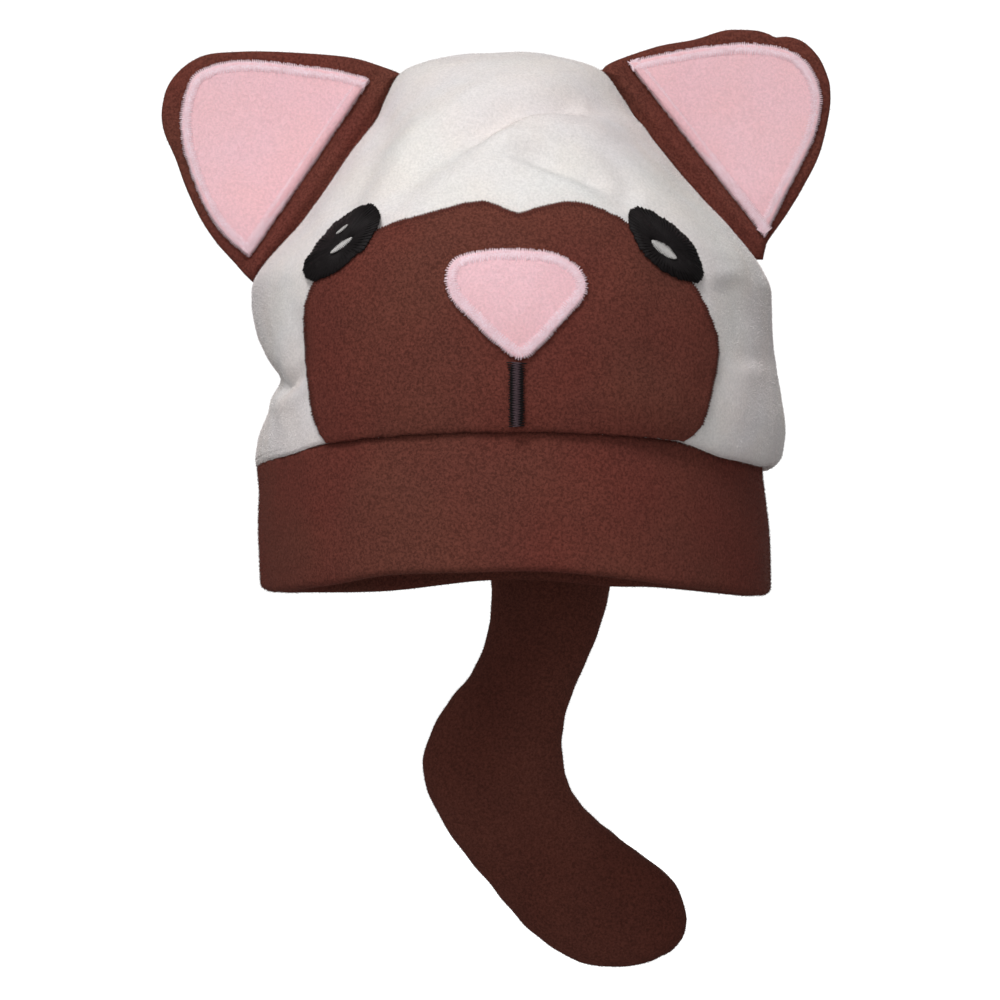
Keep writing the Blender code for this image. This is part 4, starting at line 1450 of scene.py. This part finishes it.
def crown_edge(side, rise, tucked=True):
    """Point of the crown's side seam at a share of its height."""
    stops = np.linspace(0, len(CROWN_RINGS) - 1, 1500)
    rises = through(CROWN_RINGS, stops)[:, 0]
    position = np.interp(rise, rises, stops)
    angle = 0 if side > 0 else math.pi
    ring = through(CROWN_RINGS, position)
    seam = BAND_HEIGHT + GAP
    height = seam + ring[..., 0] * (CROWN_TOP - seam)
    x = CROWN_LEAN * ring[..., 4] + side * CROWN_SIDE * ring[..., 1]
    if tucked:
        x = x - side_tuck(angle, ring[..., 0])
    point = np.stack([x, np.zeros(np.shape(x)), height], -1)
    pinch = np.asarray(pinch_depth(angle, height))[..., None]
    return point - pinch * outwards(point)


def ear_frame(ear):
    """Lower end of an ear's base, the base's run and the way off it."""
    low, high = (crown_edge(ear.side, rise, tucked=False) for rise in (ear.low, ear.high))
    run = high - low
    away = np.array((run[2], 0, -run[0])) * ear.side / np.linalg.norm(run)
    return low, run, away


def ear_line(ear, outline, steps):
    """Outline drawn on an ear, in the front view."""
    low, run, away = ear_frame(ear)
    points = curve_through(outline, steps)
    line = low + run * points[:, :1] + away * EAR_HEIGHT * points[:, 1:]
    return line[:, [0, 2]]


class EarShape:
    """Form of one ear, as depths over the front view."""

    def __init__(self, ear):
        self.ear = ear
        low, run, away = ear_frame(ear)
        self.low, self.run, self.away = low[[0, 2]], run[[0, 2]], away[[0, 2]]
        self.hub = self.low + self.run / 2 + self.away * EAR_HEIGHT * 0.42
        edge = ear_line(ear, ear.outline, 14)[1:-1]
        base = crown_edge(ear.side, np.linspace(ear.high, ear.low, 60))
        base = base + outwards(base) * GAP
        self.outline = evenly(np.concatenate([edge, base[:, [0, 2]]]), 240, closed=True)
        away = self.outline - self.hub
        turn = np.arctan2(away[:, 1], away[:, 0])
        order = np.argsort(turn)
        self.turns = turn[order]
        self.reach = np.linalg.norm(away, axis=1)[order]

    def share(self, spots):
        """How far out places lie, 0 at the hub and 1 at the edge."""
        away = spots - self.hub
        turn = np.arctan2(away[:, 1], away[:, 0])
        reach = np.interp(turn, self.turns, self.reach, period=2 * math.pi)
        return np.linalg.norm(away, axis=1) / reach

    def cup(self, spots):
        """How far the ear's middle stands back."""
        middle = self.low + self.run / 2 + self.away * EAR_HEIGHT / 2
        share = np.linalg.norm(spots - middle, axis=1) / (EAR_HEIGHT / 2)
        return EAR_CUP * np.clip(1 - share * share, 0, None)

    def half(self, spots):
        """Half thickness of the padding."""
        share = np.clip(self.share(spots), 0, 1)
        return EAR_THICK / 2 * np.sqrt(1 - share**7)

    def off_base(self, spots):
        """Distance from the ear's base line."""
        unit = self.run / np.linalg.norm(self.run)
        away = spots - self.low
        return np.abs(away[:, 0] * unit[1] - away[:, 1] * unit[0])

    def front(self, spots):
        """Depth of the ear's front face."""
        off = self.off_base(spots)
        share = np.clip(self.share(spots), 0, 1)
        width = self.ear.roll_width
        ridge = bell(off - 0.5 * width, 0.42 * width)
        hollow = 0.6 * bell(off - 1.35 * width, 0.34 * width)
        roll = self.ear.roll * (ridge - hollow)
        return self.cup(spots) - self.half(spots) - roll * np.sqrt(1 - share**12)

    def back(self, spots):
        """Depth of the ear's back face."""
        return self.cup(spots) + self.half(spots)

    def over(self, lift):
        """What lays places of the front view on the ear, at a lift."""
        return lambda spots: np.stack([spots[:, 0], self.front(spots) - lift, spots[:, 1]], -1)


class HAT_OT_ears(bpy.types.Operator):
    """Pad the ears, lay their pink patches and stitch the edges"""

    bl_idname = "cat_hat.ears"
    bl_label = "Ears"
    bl_options = {"REGISTER", "UNDO"}

    def execute(self, context):
        for ear in EARS:
            shape = EarShape(ear)
            self.pad(ear, shape)
            self.line(context, ear, shape)
        return {"FINISHED"}

    def pad(self, ear, shape):
        """Padded ear, with its seam round the edge."""
        rings = []
        for face, order in ((shape.back, EAR_SHARES), (shape.front, (1,) + EAR_SHARES[::-1])):
            for share in order:
                spots = shape.hub + (shape.outline - shape.hub) * share
                ring = np.stack([spots[:, 0], face(spots), spots[:, 1]], -1)
                ring[:, 1] += 0.0003 * lumps(ring, 0.009, 6) * (1 - share**6)
                rings.append(ring)
        hubs = []
        for face in (shape.back, shape.front):
            depth = float(face(shape.hub[None])[0])
            hubs.append((shape.hub[0], depth, shape.hub[1]))
        name = f"ear_{ear.name}"
        mesh = shell(f"{name}_padding", rings, first_hub=hubs[0], last_hub=hubs[1])
        piece = add_piece(f"{name}_padding", mesh, brown_fleece(), name)
        add_pile(f"{name}_pile", mesh, 2.2e6, brown_fleece(), 13)

    def line(self, context, ear, shape):
        """Pink patch on the face of an ear, and its edging."""
        stitching = context.scene.hat_stitching
        edge = ear_line(ear, ear.inner, 10)
        foot = edge[-1] + (edge[0] - edge[-1]) * np.linspace(0, 1, 40)[1:-1, None]
        outline = evenly(np.concatenate([edge, foot]), 260, closed=True)
        hub = outline.mean(axis=0)
        cut = ragged(hub + (outline - hub) * 0.99, hub)
        lift = GAP + EASE
        shares = edge_shares(cut, hub, 16)
        name = f"inner_ear_{ear.name}"
        lay = shape.over(lift)
        mesh = patch_mesh(f"{name}_cloth", cut, hub, THIN_PATCH, PATCH_EDGE, shares, lay, forwards, 0)
        piece = add_piece(f"{name}_cloth", mesh, pink_fleece(), name)
        add_pile(f"{name}_pile", mesh, 2.4e6, pink_fleece(), 17, 0.7)
        edging(
            f"{name}_edging",
            outline,
            hub,
            shape.over(lift + THIN_PATCH),
            forwards,
            stitching.edging_width / 2,
            pink_thread(),
            THIN_PATCH * 0.5,
        )


def band_back(x, height):
    """How far back the band stands at places across it."""
    rise = np.clip(height / FRONT_SEAM, 0, 1)
    row = through(BAND_ROWS, rise * (len(BAND_ROWS) - 1))
    out = row[..., 1] * BAND_TAPER - BAND_TAPER
    across = (x - CROWN_LEAN * row[..., 2]) / (BAND_SIDE + out)
    return (BAND_REACH + out) * (1 - np.abs(across) ** BAND_ROUND) ** (1 / BAND_ROUND)


class HAT_OT_tail(bpy.types.Operator):
    """Stuff the tail and hang it at the back seam"""

    bl_idname = "cat_hat.tail"
    bl_label = "Tail"
    bl_options = {"REGISTER", "UNDO"}

    def execute(self, context):
        rings, first_hub, last_hub = self.rings()
        mesh = shell("tail_stuffed", rings, first_hub=first_hub, last_hub=last_hub)
        # Fleece darkened in patches: painted shade of the tail
        cloth = tail_fleece_painted_shade()
        piece = add_piece("tail_stuffed", mesh, cloth, "tail")
        add_pile("tail_pile", mesh, 2.2e6, cloth, 19)
        return {"FINISHED"}

    def middles(self, left, right, depth):
        """Middle line of the tail, which hangs against the band."""
        middle, half = (left + right) / 2, (right - left) / 2
        around = np.linspace(0, 2 * math.pi, 28, endpoint=False)
        across, towards = round_point(around, TAIL_ROUND)
        places = TAIL_ROOT_X + np.linalg.norm(half, axis=1)[:, None] * across
        behind = band_back(places, middle[:, 1:])
        carried = behind + GAP + depth[:, None] * towards
        hung = np.maximum.accumulate(carried.max(axis=1))
        return np.stack([middle[:, 0], hung, middle[:, 1]], -1)

    def rings(self):
        """Oval rings down the tail and round its end, and the hubs at both ends."""
        rows, sides, cap = 190, 72, 26
        sections = through(TAIL_SECTIONS, np.linspace(0, len(TAIL_SECTIONS) - 1, rows))
        root = np.array((TAIL_ROOT_X, FRONT_SEAM))
        left = root + TAIL_DROP * sections[:, 0:2] * (1, -1)
        right = root + TAIL_DROP * sections[:, 2:4] * (1, -1)
        depth = TAIL_DEPTH / 2 * sections[:, 4]
        middles = self.middles(left, right, depth)
        side = np.zeros((rows, 3))
        side[:, [0, 2]] = (right - left) / 2
        width = np.linalg.norm(side[-1])
        onward = np.array((side[-1, 2], 0, -side[-1, 0])) * TAIL_END
        turn = np.linspace(0, math.pi / 2, cap + 1)[1:-1]
        tip = middles[-1] + onward
        middles = np.concatenate([middles, middles[-1] + onward * np.sin(turn)[:, None]])
        side = np.concatenate([side, side[-1] * np.cos(turn)[:, None]])
        depth = np.concatenate([depth, depth[-1] * np.cos(turn)])
        around = np.linspace(0, 2 * math.pi, sides, endpoint=False)
        across, back = round_point(around, TAIL_ROUND)
        out = side[:, None] * across[:, None]
        out[..., 1] -= depth[:, None] * back
        rings = middles[:, None] + out
        unit = out / np.linalg.norm(out, axis=-1, keepdims=True).clip(1e-6)
        along = np.concatenate([[0], np.cumsum(np.linalg.norm(np.diff(middles, axis=0), axis=1))])
        stuffing = 0.0004 * lumps(rings, 0.030, 8) + 0.0002 * lumps(rings, 0.009, 9)
        beside = np.minimum(np.abs(np.sin(around)), 1)[None, :]
        puckers = TAIL_PUCKER * np.sin(along / 0.0019)[:, None] * bell(beside - 0.14, 0.12)
        seam = TAIL_SEAM * bell(beside, 0.05) + puckers
        fade = np.clip(np.linalg.norm(side, axis=1) / width, 0, 1)[:, None]
        rings += unit * ((stuffing - seam) * fade)[..., None]
        return rings, middles[0], tip


class HAT_OT_stage(bpy.types.Operator):
    """Set the floor, camera and light"""

    bl_idname = "cat_hat.stage"
    bl_label = "Stage"
    bl_options = {"REGISTER", "UNDO"}

    def execute(self, context):
        stage = context.scene.hat_stage
        self.floor(stage)
        self.camera(context, stage)
        self.lights(context, stage)
        return {"FINISHED"}

    def floor(self, stage):
        """Plain pale floor under the hat."""
        shape = bmesh.new()
        bmesh.ops.create_grid(shape, x_segments=1, y_segments=1, size=30)
        height = TAIL_FOOT - stage.clearance
        bmesh.ops.translate(shape, verts=shape.verts, vec=(0, 0, height))
        mesh = bpy.data.meshes.new("floor")
        shape.to_mesh(mesh)
        shape.free()
        floor = bpy.data.objects.new("floor", mesh)
        bpy.context.scene.collection.objects.link(floor)
        material = bpy.data.materials.new("floor")
        material.use_nodes = True
        shader = material.node_tree.nodes["Principled BSDF"].inputs
        shader["Base Color"].default_value = (0.8, 0.8, 0.8, 1)
        shader["Roughness"].default_value = 0.9
        shader["Emission Color"].default_value = (1, 1, 1, 1)
        shader["Emission Strength"].default_value = stage.floor_glow
        mesh.materials.append(material)
        floor.visible_diffuse = False
        floor.visible_glossy = False

    def camera(self, context, stage):
        """Camera at the height of the hat, looking very slightly up."""
        lens = bpy.data.cameras.new("camera")
        lens.sensor_width = 36
        lens.lens = lens.sensor_width * stage.distance / stage.view_width
        lens.clip_start = 0.05
        lens.clip_end = 200
        camera = bpy.data.objects.new("camera", lens)
        context.scene.collection.objects.link(camera)
        back = Vector((0, -math.cos(stage.elevation), math.sin(stage.elevation)))
        camera.location = Vector(stage.target) + back * stage.distance
        camera.rotation_euler = (-back).to_track_quat("-Z", "Y").to_euler()
        context.scene.camera = camera

    def lights(self, context, stage):
        """Soft light from the front, and pale light from all round."""
        for name, place, size, power in (
            ("key", (-0.27, -0.95, 1.02), 0.5, stage.key),
            ("front", (-0.05, -1.35, 0.15), 0.7, stage.key * 0.42),
            ("side", (-0.95, -0.8, -0.02), 0.5, stage.key * 0.06),
            ("top", (0.05, -0.15, 1.4), 0.6, stage.key * 0.09),
            ("back", (0.35, 1.4, 0.4), 0.9, stage.key * 0.45),
        ):
            lamp = bpy.data.lights.new(name, "AREA")
            lamp.shape = "DISK"
            lamp.size = size
            lamp.energy = power
            light = bpy.data.objects.new(name, lamp)
            light.location = place
            aim = Vector((0, 0, 0.06)) - Vector(place)
            light.rotation_euler = aim.to_track_quat("-Z", "Y").to_euler()
            context.scene.collection.objects.link(light)
        world = bpy.data.worlds.new("studio")
        context.scene.world = world
        world.use_nodes = True
        world.node_tree.nodes.clear()
        add = adder(world.node_tree)
        soft, white = (
            add("ShaderNodeBackground", {"Color": (1, 1, 1, 1), "Strength": strength}).outputs[0]
            for strength in (stage.fill, 1.1)
        )
        seen = add("ShaderNodeLightPath").outputs["Is Camera Ray"]
        blend = add("ShaderNodeMixShader", {0: seen, 1: soft, 2: white}).outputs[0]
        add("ShaderNodeOutputWorld", {"Surface": blend})
        context.scene.view_settings.view_transform = "Standard"


OPERATORS = (
    HAT_OT_crown,
    HAT_OT_band,
    HAT_OT_muzzle,
    HAT_OT_nose,
    HAT_OT_mouth,
    HAT_OT_eyes,
    HAT_OT_ears,
    HAT_OT_tail,
    HAT_OT_stage,
)


class HAT_PT_panel(bpy.types.Panel):
    """Sizes, colours and steps of the cat hat"""

    bl_idname = "HAT_PT_panel"
    bl_label = "Cat Hat"
    bl_space_type = "VIEW_3D"
    bl_region_type = "UI"
    bl_category = "Cat Hat"

    def draw(self, context):
        for title, group in (
            ("Cloth", context.scene.hat_cloth),
            ("Stitching", context.scene.hat_stitching),
            ("Colours", context.scene.hat_colours),
            ("Stage", context.scene.hat_stage),
        ):
            box = self.layout.box()
            box.label(text=title)
            for key in group.__annotations__:
                box.prop(group, key)
        for operator in OPERATORS:
            self.layout.operator(operator.bl_idname)


GROUPS = (
    ("hat_cloth", HatCloth),
    ("hat_stitching", HatStitching),
    ("hat_colours", HatColours),
    ("hat_stage", HatStage),
)


def register():
    """Add the hat's classes and properties."""
    for name, group in GROUPS:
        bpy.utils.register_class(group)
        setattr(bpy.types.Scene, name, PointerProperty(type=group))
    for operator in OPERATORS:
        bpy.utils.register_class(operator)
    bpy.utils.register_class(HAT_PT_panel)


def unregister():
    """Take the hat's classes and properties away."""
    bpy.utils.unregister_class(HAT_PT_panel)
    for operator in reversed(OPERATORS):
        bpy.utils.unregister_class(operator)
    for name, group in reversed(GROUPS):
        delattr(bpy.types.Scene, name)
        bpy.utils.unregister_class(group)


def main():
    """Make the hat."""
    register()
    bpy.ops.cat_hat.crown()
    bpy.ops.cat_hat.band()
    bpy.ops.cat_hat.muzzle()
    bpy.ops.cat_hat.nose()
    bpy.ops.cat_hat.mouth()
    bpy.ops.cat_hat.eyes()
    bpy.ops.cat_hat.ears()
    bpy.ops.cat_hat.tail()
    bpy.ops.cat_hat.stage()
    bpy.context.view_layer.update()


if __name__ == "__main__":
    main()
